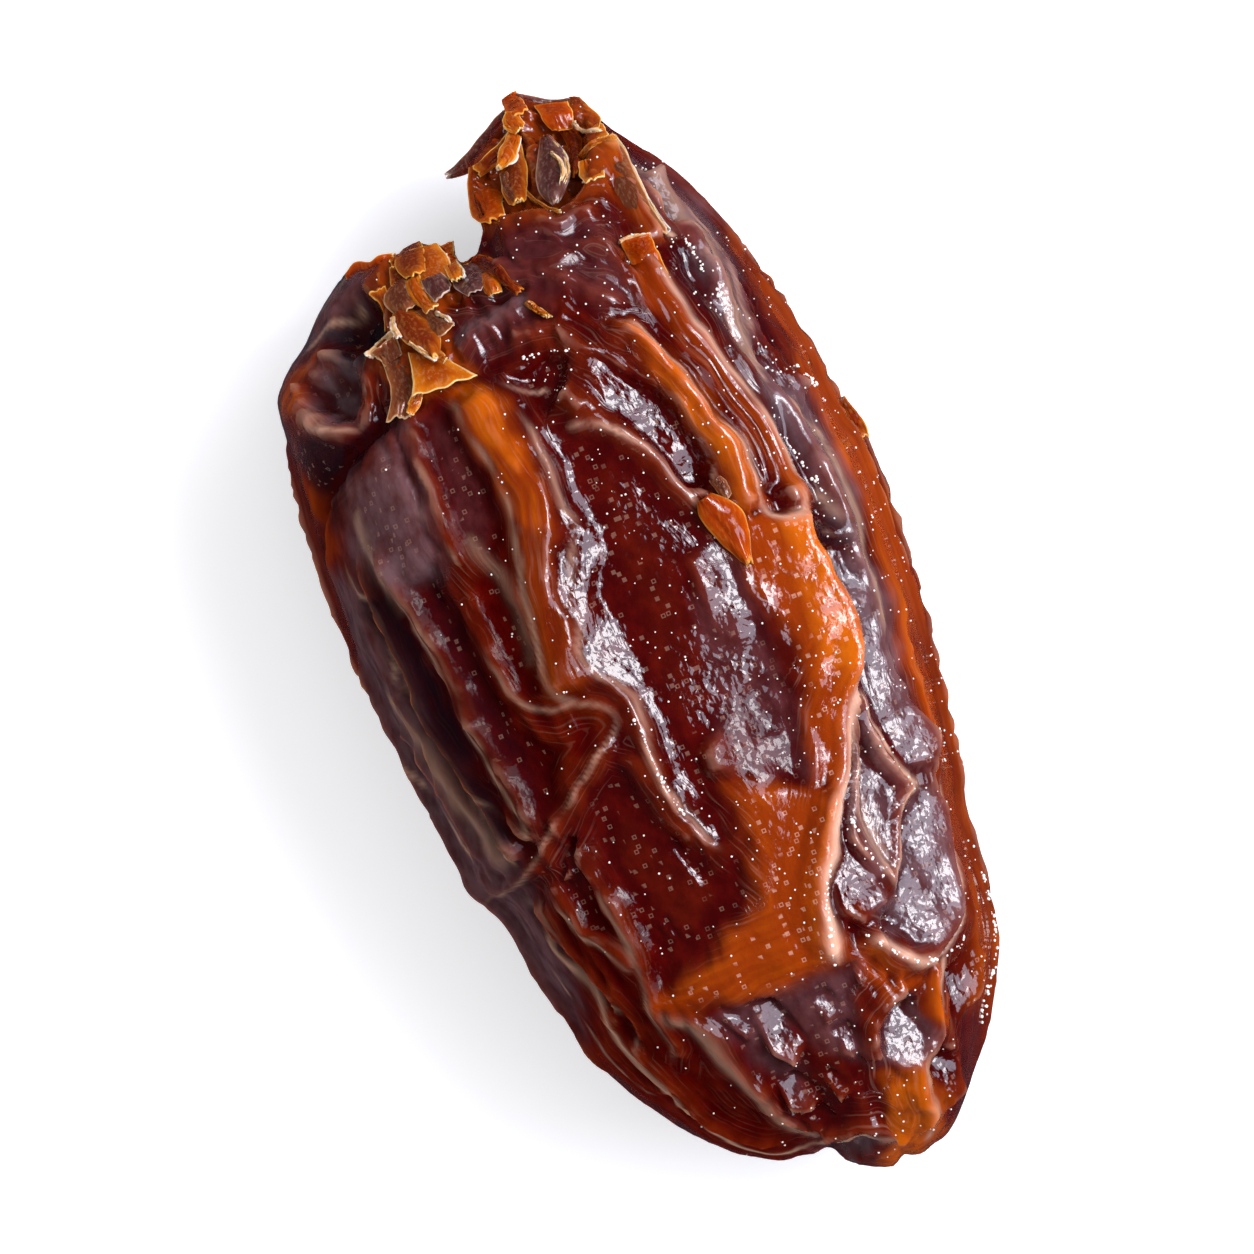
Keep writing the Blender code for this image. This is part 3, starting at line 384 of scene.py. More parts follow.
# A stain is laid in plan on the upper half, with a softness of its edge in mm
Stain = namedtuple("Stain", "tint strength softness outline")
STAINS = (
    # The great west fold
    Stain("amber", 1.0, 0.4, (
        (-4.0, 13.6), (-3.0, 13.9), (-2.2, 12.8), (-1.9, 11.4), (-1.5, 10.0), (-1.5, 8.5),
        (-1.9, 6.8), (-2.6, 6.4), (-3.3, 7.4), (-3.4, 10.5), (-3.9, 12.4))),
    Stain("amber", 0.24, 0.5, (
        (-3.5, 8.6), (-1.8, 8.0), (-2.2, 5.4), (-2.9, 2.5), (-3.2, 0.4), (-2.4, -1.4),
        (-3.0, -2.2), (-4.6, -1.0), (-4.9, 1.5), (-4.2, 4.5), (-3.7, 7.0))),
    Stain("gold", 0.75, 0.3, (
        (-3.7, 13.4), (-2.6, 13.2), (-2.1, 11.6), (-1.9, 10.0), (-2.3, 9.4), (-2.9, 11.0))),
    # The inner rib
    Stain("amber", 0.95, 0.4, (
        (3.9, 13.9), (4.5, 13.5), (5.5, 11.6), (6.2, 9.6), (6.8, 7.4), (7.1, 5.2), (7.1, 3.6),
        (5.9, 3.4), (5.7, 5.5), (5.4, 7.5), (4.8, 9.5), (4.3, 11.5))),
    # The outer rib
    Stain("amber", 0.75, 0.35, (
        (5.4, 16.7), (6.7, 16.8), (6.8, 15.0), (7.1, 12.5), (7.6, 10.3), (8.2, 8.2), (8.7, 6.0),
        (8.8, 4.0), (8.4, 3.0), (7.8, 5.2), (7.4, 8.0), (6.6, 10.5), (6.0, 13.0), (5.5, 15.0))),
    # The long panel
    Stain("amber", 1.0, 0.4, (
        (4.9, 3.0), (5.9, 4.4), (7.2, 3.5), (8.6, 3.2), (8.5, 0.0), (8.5, -2.5), (7.9, -4.3),
        (7.0, -5.3), (6.3, -7.0), (5.6, -8.5), (4.2, -8.6), (4.8, -6.2), (5.6, -4.0), (5.9, -2.0),
        (5.5, 0.0))),
    Stain("gold", 0.9, 0.4, (
        (7.3, 3.3), (8.4, 3.2), (8.4, -2.4), (7.5, -4.2), (6.3, -3.8), (6.9, -1.0), (7.4, 1.5))),
    Stain("gold", 0.7, 0.4, (
        (4.3, 13.4), (5.0, 12.2), (5.9, 10.0), (6.6, 7.4), (6.7, 5.0), (6.1, 5.4), (5.6, 8.0),
        (5.0, 10.2))),
    Stain("gold", 0.6, 0.6, (
        (2.6, -20.9), (4.0, -21.2), (3.9, -24.0), (2.4, -24.7), (1.2, -24.8))),
    # The plateau
    Stain("amber", 0.9, 0.6, (
        (0.8, -6.6), (2.3, -7.4), (4.5, -8.5), (5.6, -8.5), (4.4, -10.2), (3.2, -12.0),
        (2.6, -13.5), (3.2, -15.6), (0.0, -15.8), (-3.9, -15.1), (-6.0, -14.2), (-2.5, -13.4),
        (0.0, -11.7), (1.1, -9.0))),
    # The east rim
    Stain("amber", 0.95, 0.4, (
        (10.0, 16.0), (10.6, 15.0), (11.4, 11.5), (12.1, 8.0), (12.5, 4.0), (12.3, 0.0),
        (11.8, -3.5), (11.2, -7.0), (10.7, -10.0), (9.8, -9.0), (10.1, -5.0), (10.7, -1.0),
        (11.2, 3.0), (11.0, 7.0), (10.9, 11.0), (10.3, 14.0))),
    Stain("amber", 0.9, 1.1, (
        (10.6, -8.0), (10.6, -11.0), (10.3, -14.0), (9.9, -17.0), (8.4, -20.0), (7.6, -19.9),
        (8.9, -17.0), (9.6, -14.0), (9.9, -11.0))),
    # The blossom end
    Stain("amber", 0.85, 0.5, (
        (2.5, -20.9), (4.3, -20.9), (4.2, -24.3), (2.2, -25.0), (0.8, -25.2), (1.2, -24.2),
        (2.4, -23.4))),
    # Below the basin
    Stain("amber", 0.85, 0.4, (
        (3.6, -14.9), (4.6, -16.6), (5.8, -17.6), (7.0, -17.2), (6.4, -18.4), (6.1, -20.2),
        (5.3, -19.2), (5.5, -17.9), (4.0, -17.5), (3.2, -16.2))),
    # The west edge
    Stain("amber", 0.4, 0.6, (
        (-12.2, 14.0), (-11.2, 14.6), (-11.3, 12.0), (-11.5, 9.5), (-12.3, 9.2), (-12.4, 12.0))),
    Stain("amber", 0.8, 0.3, (
        (-11.0, 17.0), (-8.6, 17.7), (-8.8, 17.2), (-10.0, 16.4), (-10.3, 15.4), (-11.4, 15.6))),
    # The tear
    Stain("flesh", 1.0, 0.25, (
        (-6.1, 14.0), (-5.2, 13.9), (-2.6, 14.0), (-3.2, 15.6), (-2.6, 17.4), (-1.2, 17.7),
        (-0.3, 17.0), (-0.1, 18.0), (-0.4, 19.2), (-1.3, 21.0), (-4.2, 21.0), (-5.5, 19.2),
        (-5.2, 17.5), (-6.4, 16.4))),
    Stain("flesh", 0.7, 0.3, (
        (0.0, 19.8), (3.4, 19.2), (5.2, 19.6), (6.9, 21.6), (6.3, 23.9), (3.6, 25.2),
        (2.6, 24.1), (0.2, 22.6), (0.0, 21.0))),
    Stain("amber", 0.5, 0.3, (
        (5.6, 21.8), (6.7, 21.8), (7.0, 19.4), (7.3, 16.4), (6.5, 16.7), (5.7, 19.0))),
    # Near black beside the tear, in the west troughs, over the west flank and in the grooves by the
    # east ribs: painted shade in these hollows, troughs and grooves
    Stain("violet", 1.0, 0.5, (
        (-8.0, 18.6), (-5.6, 19.2), (-5.5, 17.4), (-6.6, 16.3), (-7.9, 16.4))),
    Stain("violet", 0.9, 0.4, (
        (-10.9, 7.0), (-9.6, 7.2), (-9.1, 3.0), (-8.9, -1.0), (-8.2, -5.5), (-9.2, -5.6),
        (-10.0, -2.0), (-10.5, 1.0), (-10.6, 4.0))),
    Stain("violet", 0.8, 0.5, (
        (-11.6, 13.8), (-11.0, 10.2), (-9.8, 12.0), (-6.3, 12.9), (-6.4, 14.2), (-7.6, 13.8),
        (-8.8, 13.5), (-10.4, 14.6))),
    Stain("violet", 0.5, 0.8, (
        (-8.6, 7.0), (-6.6, 7.0), (-7.0, 3.0), (-6.6, -2.0), (-7.0, -5.0), (-8.0, -5.0),
        (-8.5, 0.0))),
    Stain("violet", 0.6, 0.4, (
        (-12.6, 7.0), (-11.4, 7.0), (-11.3, 3.0), (-10.9, -3.0), (-11.5, -6.5), (-12.2, 0.0))),
    Stain("violet", 0.45, 0.8, (
        (-12.8, 9.0), (-8.6, 7.6), (-8.4, 2.0), (-8.0, -5.0), (-8.6, -8.0), (-8.2, -14.0),
        (-9.4, -15.0), (-12.0, -7.0), (-13.0, 2.0))),
    Stain("violet", 0.55, 0.3, (
        (7.4, 16.2), (8.2, 15.6), (8.4, 12.4), (8.8, 9.6), (9.2, 6.6), (9.4, 3.4), (8.9, 3.4),
        (8.7, 6.6), (8.3, 9.4), (7.8, 12.4), (7.3, 14.6))),
    Stain("violet", 0.7, 0.3, (
        (8.7, 3.6), (9.6, 3.5), (9.9, 1.2), (8.8, 1.2))),
    Stain("violet", 0.4, 0.3, (
        (9.6, 17.0), (10.0, 16.0), (10.5, 13.0), (10.8, 9.8), (10.4, 9.8), (10.0, 12.6),
        (9.6, 15.0))),
    # Grey-mauve: partly the dusty coat that the skin has and partly painted sheen, the soft lights'
    # reflection on the glossy skin laid into its colour
    Stain("haze", 0.5, 0.8, (
        (-12.8, 9.0), (-10.9, 8.0), (-10.7, 3.0), (-10.4, -2.0), (-9.0, -6.0), (-8.8, -12.0),
        (-9.4, -15.0), (-12.0, -7.0), (-13.0, 2.0))),
    Stain("haze", 0.9, 0.5, (
        (-10.3, 15.6), (-9.2, 14.4), (-8.4, 14.2), (-7.4, 15.4), (-7.2, 16.6), (-9.0, 17.0))),
    Stain("haze", 0.7, 0.7, (
        (-9.9, 11.8), (-6.4, 12.8), (-6.5, 9.0), (-7.2, 6.6), (-9.3, 6.9), (-10.8, 9.2))),
    Stain("haze", 0.6, 0.6, (
        (-10.2, 17.6), (-8.0, 19.4), (-5.8, 20.8), (-5.4, 19.6), (-7.6, 18.6), (-9.0, 17.9))),
    Stain("haze", 0.16, 0.6, (
        (-3.0, 15.6), (-1.0, 17.2), (0.2, 19.2), (3.0, 19.0), (5.2, 18.6), (5.2, 14.4),
        (3.8, 14.4), (2.4, 16.0), (0.4, 14.6), (-2.4, 14.4))),
    Stain("haze", 0.8, 0.5, (
        (7.0, 20.6), (8.0, 20.2), (9.4, 17.6), (9.8, 14.0), (9.4, 11.0), (9.9, 9.4), (11.0, 8.0),
        (11.0, 3.0), (10.4, -1.0), (9.7, -7.0), (9.0, -9.6), (8.6, -6.0), (8.6, -1.0), (9.8, 1.0),
        (9.6, 5.0), (8.8, 8.6), (8.3, 12.0), (8.2, 16.0))),
    Stain("haze", 0.5, 0.6, (
        (5.0, -9.8), (6.4, -7.0), (7.6, -5.6), (7.8, -9.6), (6.6, -12.0), (5.8, -13.4),
        (5.2, -12.4))),
    Stain("haze", 0.7, 0.5, (
        (4.0, -12.2), (5.6, -14.0), (7.4, -11.4), (9.0, -10.4), (9.2, -14.0), (8.2, -16.0),
        (6.4, -16.4), (5.0, -15.2))),
    Stain("haze", 0.2, 0.6, (
        (2.2, 0.8), (3.6, 3.2), (4.8, 2.2), (4.9, -3.0), (4.6, -7.8), (2.4, -6.6), (0.6, -5.4),
        (2.0, -3.0))),
    Stain("haze", 0.34, 0.5, (
        (-3.4, -15.7), (3.4, -15.7), (2.2, -18.0), (1.8, -20.0), (0.6, -19.0), (-0.6, -17.0),
        (-1.0, -20.4), (-2.2, -18.6))),
    Stain("haze", 0.5, 0.4, (
        (2.5, -20.2), (3.0, -18.8), (5.0, -18.2), (5.2, -20.0), (4.2, -21.2))),
    Stain("haze", 0.15, 0.6, (
        (-5.6, 12.8), (-4.4, 12.8), (-4.0, 8.0), (-5.0, 6.4), (-6.0, 8.0))),
    Stain("haze", 0.8, 0.3, (
        (-1.4, -22.8), (0.6, -22.9), (1.2, -23.6), (0.0, -24.0), (-0.8, -23.4))),
    # Dry skin without a gloss
    Stain("dull", 0.97, 0.9, (
        (-13.0, 13.5), (-9.0, 13.0), (-4.6, 13.6), (-3.7, 9.0), (-3.3, 6.0), (-3.6, 3.0),
        (-3.4, 0.0), (-2.9, -2.2), (-5.4, -4.0), (-8.2, -6.2), (-8.0, -8.6), (-5.0, -9.2),
        (-4.4, -13.4), (-4.0, -18.0), (-1.6, -22.6), (-3.0, -24.0), (-8.0, -20.0),
        (-12.0, -10.0), (-13.5, 0.0))),
    Stain("dull", 0.85, 0.3, (
        (5.3, 16.4), (5.8, 16.4), (6.3, 13.0), (6.9, 10.0), (7.4, 7.0), (7.6, 4.3), (7.1, 4.2),
        (6.8, 6.5), (6.3, 9.0), (5.8, 11.5), (5.4, 14.0))),
    Stain("dull", 0.55, 0.9, (
        (0.0, -5.0), (2.2, -3.0), (5.2, -3.2), (5.2, -5.6), (4.4, -8.6), (2.0, -7.0))),
    Stain("dull", 0.4, 0.9, (
        (-3.2, 15.4), (-1.2, 17.6), (0.0, 19.6), (5.2, 19.2), (5.0, 14.8), (2.0, 14.6))),
)

# A scrap of torn skin or flesh lies between two rails given in plan. It starts and ends at a height
# over the skin below it, and bulges between its rails.
Scrap = namedtuple("Scrap", "name look start end bulge left right")
SCRAPS = (
    Scrap("fan", "gold", 0.0, 0.65, 0.15,
          ((-4.9, 15.9), (-5.05, 15.1), (-5.15, 14.6), (-5.45, 14.0)),
          ((-4.0, 15.4), (-3.4, 14.9), (-3.0, 14.4), (-2.5, 13.8))),
    Scrap("gold chip", "gold", 0.7, 0.8, 0.05,
          ((-3.85, 15.4), (-3.75, 15.1), (-3.6, 14.85)),
          ((-3.6, 15.4), (-3.5, 15.2), (-3.4, 15.0))),
    Scrap("fibres", "brown", -0.1, 0.4, 0.12,
          ((-6.1, 16.2), (-6.1, 15.2), (-6.3, 14.3), (-6.8, 13.6)),
          ((-5.0, 16.0), (-5.0, 15.0), (-5.2, 14.3), (-5.6, 13.2))),
    Scrap("gold bits under the fan", "gold", 0.15, 0.4, 0.05,
          ((-5.2, 14.3), (-5.6, 13.9), (-5.95, 13.5)),
          ((-4.9, 14.1), (-5.2, 13.7), (-5.7, 13.25))),
    Scrap("curl", "amber", 0.2, 0.7, 0.5,
          ((-4.75, 17.75), (-5.1, 17.3), (-4.95, 16.6), (-4.5, 16.0), (-3.95, 15.2)),
          ((-4.4, 17.75), (-3.8, 17.3), (-3.45, 16.5), (-3.4, 15.9), (-3.8, 15.15))),
    Scrap("left rim of the curl", "cream", 0.6, 0.9, 0.05,
          ((-5.0, 17.55), (-5.17, 17.2), (-5.07, 16.6)),
          ((-4.8, 17.55), (-4.95, 17.2), (-4.9, 16.6))),
    Scrap("lower rim of the curl", "cream", 0.95, 0.9, 0.03,
          ((-4.75, 16.3), (-4.5, 15.9), (-4.25, 15.5), (-3.95, 15.12)),
          ((-4.65, 16.38), (-4.38, 15.98), (-4.12, 15.6), (-3.82, 15.2))),
    Scrap("brown flap", "brown", 0.1, 0.35, 0.1,
          ((-5.2, 15.9), (-5.1, 16.4), (-5.1, 16.9)),
          ((-6.0, 15.7), (-6.2, 16.2), (-6.4, 16.5))),
    Scrap("pale rim", "cream", 0.4, 0.5, 0.04,
          ((-5.0, 17.05), (-5.6, 16.98), (-6.2, 16.75), (-6.7, 16.6)),
          ((-5.0, 16.87), (-5.6, 16.78), (-6.1, 16.52), (-6.5, 16.3))),
    Scrap("gold field", "gold", 0.1, 0.4, 0.25,
          ((-3.2, 20.05), (-3.4, 19.4), (-3.5, 18.8), (-3.3, 18.2)),
          ((-2.0, 19.9), (-1.8, 19.3), (-1.8, 18.7), (-2.0, 18.1))),
    Scrap("striped block", "gold", 0.4, 1.1, 0.08,
          ((-2.15, 19.7), (-2.1, 19.1), (-2.05, 18.5), (-2.0, 18.0)),
          ((-1.5, 19.8), (-1.45, 19.1), (-1.42, 18.6), (-1.4, 18.05))),
    Scrap("rim of the striped block", "cream", 0.5, 1.25, 0.02,
          ((-1.58, 19.8), (-1.54, 19.1), (-1.51, 18.6), (-1.49, 18.05)),
          ((-1.46, 19.8), (-1.42, 19.1), (-1.38, 18.6), (-1.36, 18.05))),
    Scrap("brown dome", "amber", 0.0, 0.3, 0.4,
          ((-3.4, 20.25), (-3.9, 19.9), (-4.0, 19.4), (-3.7, 18.9)),
          ((-2.7, 20.3), (-2.6, 20.0), (-2.7, 19.5), (-2.9, 19.0))),
    Scrap("top block", "gold", 0.6, 0.4, 0.1,
          ((-2.0, 19.3), (-1.95, 19.6), (-1.95, 19.85)),
          ((-1.4, 19.3), (-1.35, 19.6), (-1.3, 19.85))),
    Scrap("pink dome", "brown", 0.0, 0.3, 0.45,
          ((-4.3, 18.95), (-4.9, 18.6), (-5.0, 18.1), (-4.6, 17.5)),
          ((-3.5, 19.0), (-3.4, 18.7), (-3.5, 18.2), (-3.8, 17.7))),
    Scrap("standing leaf", "amber", -0.1, 0.6, 0.1,
          ((-5.5, 17.2), (-5.3, 17.8), (-5.25, 18.4), (-5.5, 18.9)),
          ((-5.0, 17.3), (-4.9, 17.9), (-4.8, 18.5), (-4.7, 19.1))),
    Scrap("upper leaf", "amber", -0.1, 0.3, 0.2,
          ((-4.5, 18.6), (-4.5, 19.0), (-4.4, 19.4), (-4.3, 19.7)),
          ((-3.8, 18.5), (-3.7, 19.0), (-3.8, 19.4), (-4.0, 19.7))),
    Scrap("gold bit", "gold", 0.2, 0.6, 0.25,
          ((-3.9, 18.8), (-3.9, 18.2), (-3.7, 17.6), (-3.5, 17.2)),
          ((-3.2, 18.9), (-3.2, 18.2), (-3.1, 17.6), (-2.9, 17.3))),
    Scrap("glossy bit", "mauve", 0.2, 0.6, 0.3,
          ((-3.2, 18.6), (-3.15, 18.1), (-3.0, 17.5)),
          ((-2.3, 18.6), (-2.1, 18.1), (-2.2, 17.7))),
    Scrap("beaded leaf", "brown", 0.0, 0.3, 0.35,
          ((-3.9, 17.5), (-3.6, 16.8), (-3.6, 15.9)),
          ((-3.1, 17.3), (-2.75, 16.7), (-2.6, 16.2))),
    Scrap("rim of the beaded leaf", "cream", 0.3, 0.35, 0.02,
          ((-3.6, 17.2), (-3.15, 17.15), (-2.8, 16.8), (-2.62, 16.3)),
          ((-3.6, 17.1), (-3.2, 17.05), (-2.88, 16.75), (-2.7, 16.3))),
    Scrap("amber eave", "honey", -0.1, 0.2, 0.2,
          ((-6.2, 20.3), (-5.6, 20.6), (-5.0, 20.35), (-4.5, 20.4), (-4.0, 20.3)),
          ((-6.2, 19.7), (-5.5, 19.4), (-4.9, 19.5), (-4.4, 19.7), (-4.0, 19.7))),
    Scrap("pale tab", "gold", -0.1, 0.3, 0.05,
          ((-4.15, 19.8), (-4.15, 20.1), (-4.15, 20.3)),
          ((-3.85, 19.8), (-3.85, 20.1), (-3.85, 20.35))),
    Scrap("maroon lip", "red", 0.0, 0.2, 0.35,
          ((-1.0, 18.5), (-0.6, 18.1), (-0.2, 17.6), (0.1, 17.0), (0.4, 16.5)),
          ((-0.5, 18.7), (-0.1, 18.4), (0.2, 17.8), (0.35, 17.2), (0.7, 16.6))),
    Scrap("grey dome", "mauve", 0.0, 0.25, 0.45,
          ((-1.5, 18.5), (-1.9, 18.0), (-1.9, 17.6), (-1.5, 17.2)),
          ((-0.8, 18.5), (-0.5, 18.1), (-0.5, 17.7), (-0.7, 17.3))),
    Scrap("orange nub", "gold", 0.1, 0.4, 0.3,
          ((-0.75, 17.8), (-0.8, 17.3), (-0.75, 16.8)),
          ((-0.3, 17.8), (-0.15, 17.3), (-0.2, 16.8))),
    Scrap("gold thread", "gold", 0.0, 0.2, 0.1,
          ((0.6, 16.0), (0.8, 15.6), (1.2, 15.1)),
          ((0.8, 16.0), (1.05, 15.6), (1.45, 15.0))),
    Scrap("roof", "mauve", 0.25, 0.3, 0.3,
          ((2.9, 24.35), (2.0, 23.9), (1.0, 23.3), (0.2, 22.95), (-0.45, 22.7)),
          ((3.0, 23.5), (2.3, 23.0), (1.5, 22.65), (0.7, 22.4), (-0.4, 22.5))),
    Scrap("ceiling under the roof", "amber", 0.1, 0.3, 0.2,
          ((3.0, 23.5), (2.2, 23.0), (1.4, 22.7), (0.7, 22.45)),
          ((3.0, 22.7), (2.3, 22.35), (1.6, 22.15), (0.9, 22.0))),
    Scrap("notch wall", "honey", 0.2, 0.2, 0.3,
          ((0.6, 22.5), (0.25, 21.8), (0.05, 21.1), (-0.1, 20.4), (0.25, 19.85)),
          ((1.7, 22.5), (1.6, 21.7), (1.5, 21.0), (1.3, 20.4), (1.2, 19.85))),
    Scrap("curled flake", "gold", 0.7, 1.3, 0.3,
          ((2.75, 23.25), (2.35, 22.9), (2.0, 22.5), (1.7, 22.0)),
          ((3.1, 22.9), (2.8, 22.45), (2.5, 22.1), (1.8, 21.9))),
    Scrap("rim of the curled flake", "cream", 0.85, 1.35, 0.02,
          ((3.02, 23.0), (2.72, 22.5), (2.42, 22.15), (1.7, 21.97)),
          ((3.1, 22.9), (2.83, 22.4), (2.5, 22.0), (1.7, 21.83))),
    Scrap("cap", "honey", 0.1, 0.6, 0.3,
          ((3.02, 24.75), (2.95, 24.4), (2.95, 23.8)),
          ((3.65, 24.95), (3.8, 24.4), (3.85, 23.8))),
    Scrap("gold blob", "gold", 0.6, 1.1, 0.2,
          ((2.95, 24.1), (2.65, 23.75), (2.75, 23.4), (3.05, 23.1)),
          ((3.3, 24.0), (3.45, 23.7), (3.5, 23.4), (3.4, 23.2))),
    Scrap("east roof", "mauve", 0.15, 0.25, 0.15,
          ((3.7, 24.85), (4.4, 24.4), (5.2, 23.95), (5.9, 23.75)),
          ((3.7, 24.2), (4.3, 23.8), (5.0, 23.5), (5.7, 23.3))),
    Scrap("panel by the cap", "honey", 0.3, 0.5, 0.2,
          ((4.2, 23.9), (4.3, 23.3), (4.5, 22.6)),
          ((5.6, 23.6), (5.6, 23.0), (5.4, 22.4))),
    Scrap("amber panel", "amber", 0.3, 0.7, 0.3,
          ((5.8, 23.75), (5.5, 23.1), (5.5, 22.4), (5.9, 21.9)),
          ((6.15, 23.6), (6.4, 23.0), (6.65, 22.4), (6.5, 21.9))),
    Scrap("rim of the amber panel", "cream", 0.75, 0.8, 0.02,
          ((5.48, 22.7), (5.55, 22.3), (5.85, 21.95), (6.3, 21.85)),
          ((5.56, 22.7), (5.63, 22.35), (5.9, 22.04), (6.3, 21.93))),
    Scrap("gold fibres", "gold", 0.5, 0.4, 0.1,
          ((6.0, 22.1), (6.0, 21.8), (5.9, 21.5)),
          ((6.65, 22.1), (6.7, 21.8), (6.7, 21.5))),
    Scrap("inner ridge", "amber", 0.2, 0.5, 0.4,
          ((1.9, 22.0), (1.7, 21.3), (1.5, 20.8), (1.6, 20.2)),
          ((3.0, 22.6), (2.9, 21.7), (2.7, 21.0), (2.3, 20.3))),
    Scrap("pink rib", "brown", 0.7, 0.7, 0.15,
          ((1.75, 21.7), (1.62, 21.0), (1.8, 20.2)),
          ((1.98, 21.7), (1.92, 21.0), (2.08, 20.2))),
    Scrap("almond", "mauve", 0.5, 0.7, 0.4,
          ((4.0, 22.5), (3.5, 21.7), (3.1, 20.9), (3.0, 20.3), (3.35, 19.6)),
          ((4.3, 22.5), (4.6, 21.6), (4.6, 20.9), (4.4, 20.4), (3.65, 19.65))),
    Scrap("east rim of the almond", "cream", 0.75, 0.85, 0.02,
          ((4.42, 22.0), (4.52, 21.4), (4.48, 20.9), (4.22, 20.4), (3.6, 19.78)),
          ((4.5, 22.0), (4.64, 21.4), (4.6, 20.8), (4.34, 20.3), (3.62, 19.64))),
    Scrap("inner rim of the almond", "cream", 1.05, 0.95, 0.02,
          ((4.1, 21.7), (4.28, 21.2), (4.2, 20.7), (3.9, 20.3)),
          ((4.15, 21.72), (4.36, 21.2), (4.28, 20.65), (3.96, 20.24))),
    Scrap("almond edge", "gold", 0.35, 0.6, 0.05,
          ((2.35, 20.7), (2.6, 20.1), (3.0, 19.5), (3.4, 19.0)),
          ((2.5, 20.7), (2.75, 20.1), (3.12, 19.58), (3.48, 19.15))),
    Scrap("right inner ridge", "red", 0.2, 0.4, 0.4,
          ((4.8, 22.9), (4.9, 22.0), (4.8, 21.2), (4.6, 20.4)),
          ((5.5, 22.6), (5.5, 21.8), (5.3, 21.2), (5.0, 20.6))),
    Scrap("amber block", "gold", 0.3, 0.5, 0.25,
          ((5.1, 20.8), (4.9, 20.3), (4.9, 19.9)),
          ((5.9, 20.7), (6.0, 20.3), (5.8, 19.8))),
    Scrap("torn strip", "brown", 0.3, 0.15, 0.3,
          ((5.2, 21.2), (5.6, 20.6), (5.9, 19.4), (6.0, 18.0), (6.2, 16.9)),
          ((6.9, 21.5), (7.1, 20.5), (7.12, 19.2), (7.22, 17.8), (7.45, 16.7))),
    Scrap("top rim of the torn strip", "gold", 0.5, 0.5, 0.05,
          ((5.2, 21.15), (5.9, 21.45), (6.5, 21.52), (6.95, 21.4)),
          ((5.25, 20.95), (5.9, 21.25), (6.5, 21.3), (6.9, 21.15))),
    Scrap("east rim of the torn strip", "cream", 0.45, 0.35, 0.02,
          ((6.94, 21.4), (7.06, 20.5), (7.08, 19.2), (7.2, 17.8), (7.5, 16.6)),
          ((7.03, 21.35), (7.17, 20.5), (7.2, 19.2), (7.32, 17.8), (7.62, 16.5))),
    Scrap("rib end", "honey", 0.5, -0.6, 0.2,
          ((5.4, 16.9), (5.5, 16.2), (5.7, 14.6)),
          ((6.7, 16.8), (6.75, 16.1), (6.8, 14.6))),
    Scrap("rim of the rib end", "cream", 0.6, 0.6, 0.02,
          ((5.4, 16.97), (6.0, 16.97), (6.7, 16.77)),
          ((5.4, 16.87), (6.0, 16.85), (6.7, 16.63))),
    Scrap("leaf tab", "honey", 0.4, 0.0, 0.35,
          ((4.3, 5.2), (4.15, 4.5), (4.5, 3.4), (5.2, 2.0)),
          ((4.9, 5.35), (5.6, 4.7), (5.9, 3.9), (5.5, 2.1))),
    Scrap("pink nub", "brown", 0.3, 0.0, 0.2,
          ((5.1, 5.9), (5.2, 5.5), (5.4, 4.9)),
          ((5.5, 5.9), (5.7, 5.5), (5.7, 5.0))),
    Scrap("rim flake", "amber", 0.0, 0.15, 0.1,
          ((11.7, 7.2), (11.8, 6.2), (11.9, 5.1)),
          ((12.0, 7.2), (12.35, 6.0), (12.35, 5.2))),
)
SCRAP_THICKNESS = 0.08
SCRAP_GRID = (22, 30)
SCRAP_CRINKLE = 0.05
SCRAP_MARGIN = 0.02
RAIL_POINTS = 40
RAIL_EVENED = 6

# The pieces that the scraps are joined into, with the colours of their middle, glow and rim. The
# glow towards the edges and the bright rim are painted light: light through the thin flesh and a
# highlight along its edges, laid into the colour.
SCRAP_LOOKS = {
    "gold": ("golden_flesh", "#9A3E04", "#E07A10", "#FFD08A"),
    "honey": ("honey_flesh", "#8C2C02", "#C65004", "#FFA648"),
    "amber": ("amber_flesh", "#6A2206", "#B4560C", "#F4AC50"),
    "brown": ("dried_skin_scrap", "#582816", "#8E4E28", "#DCAE84"),
    "red": ("red_skin_scrap", "#4A0C02", "#983406", "#D87024"),
    # Mauve scraps: their grey-mauve is partly painted sheen, a reflection on the glossy skin
    "mauve": ("bloomed_sheen_skin_scrap", "#482420", "#6E4840", "#DCB8A8"),
    # Cream scraps are thin torn edges whose near-white is painted highlight along the edges
    "cream": ("thin_torn_edge_highlight", "#E8A060", "#FFD0A0", "#FFEBD8"),
}
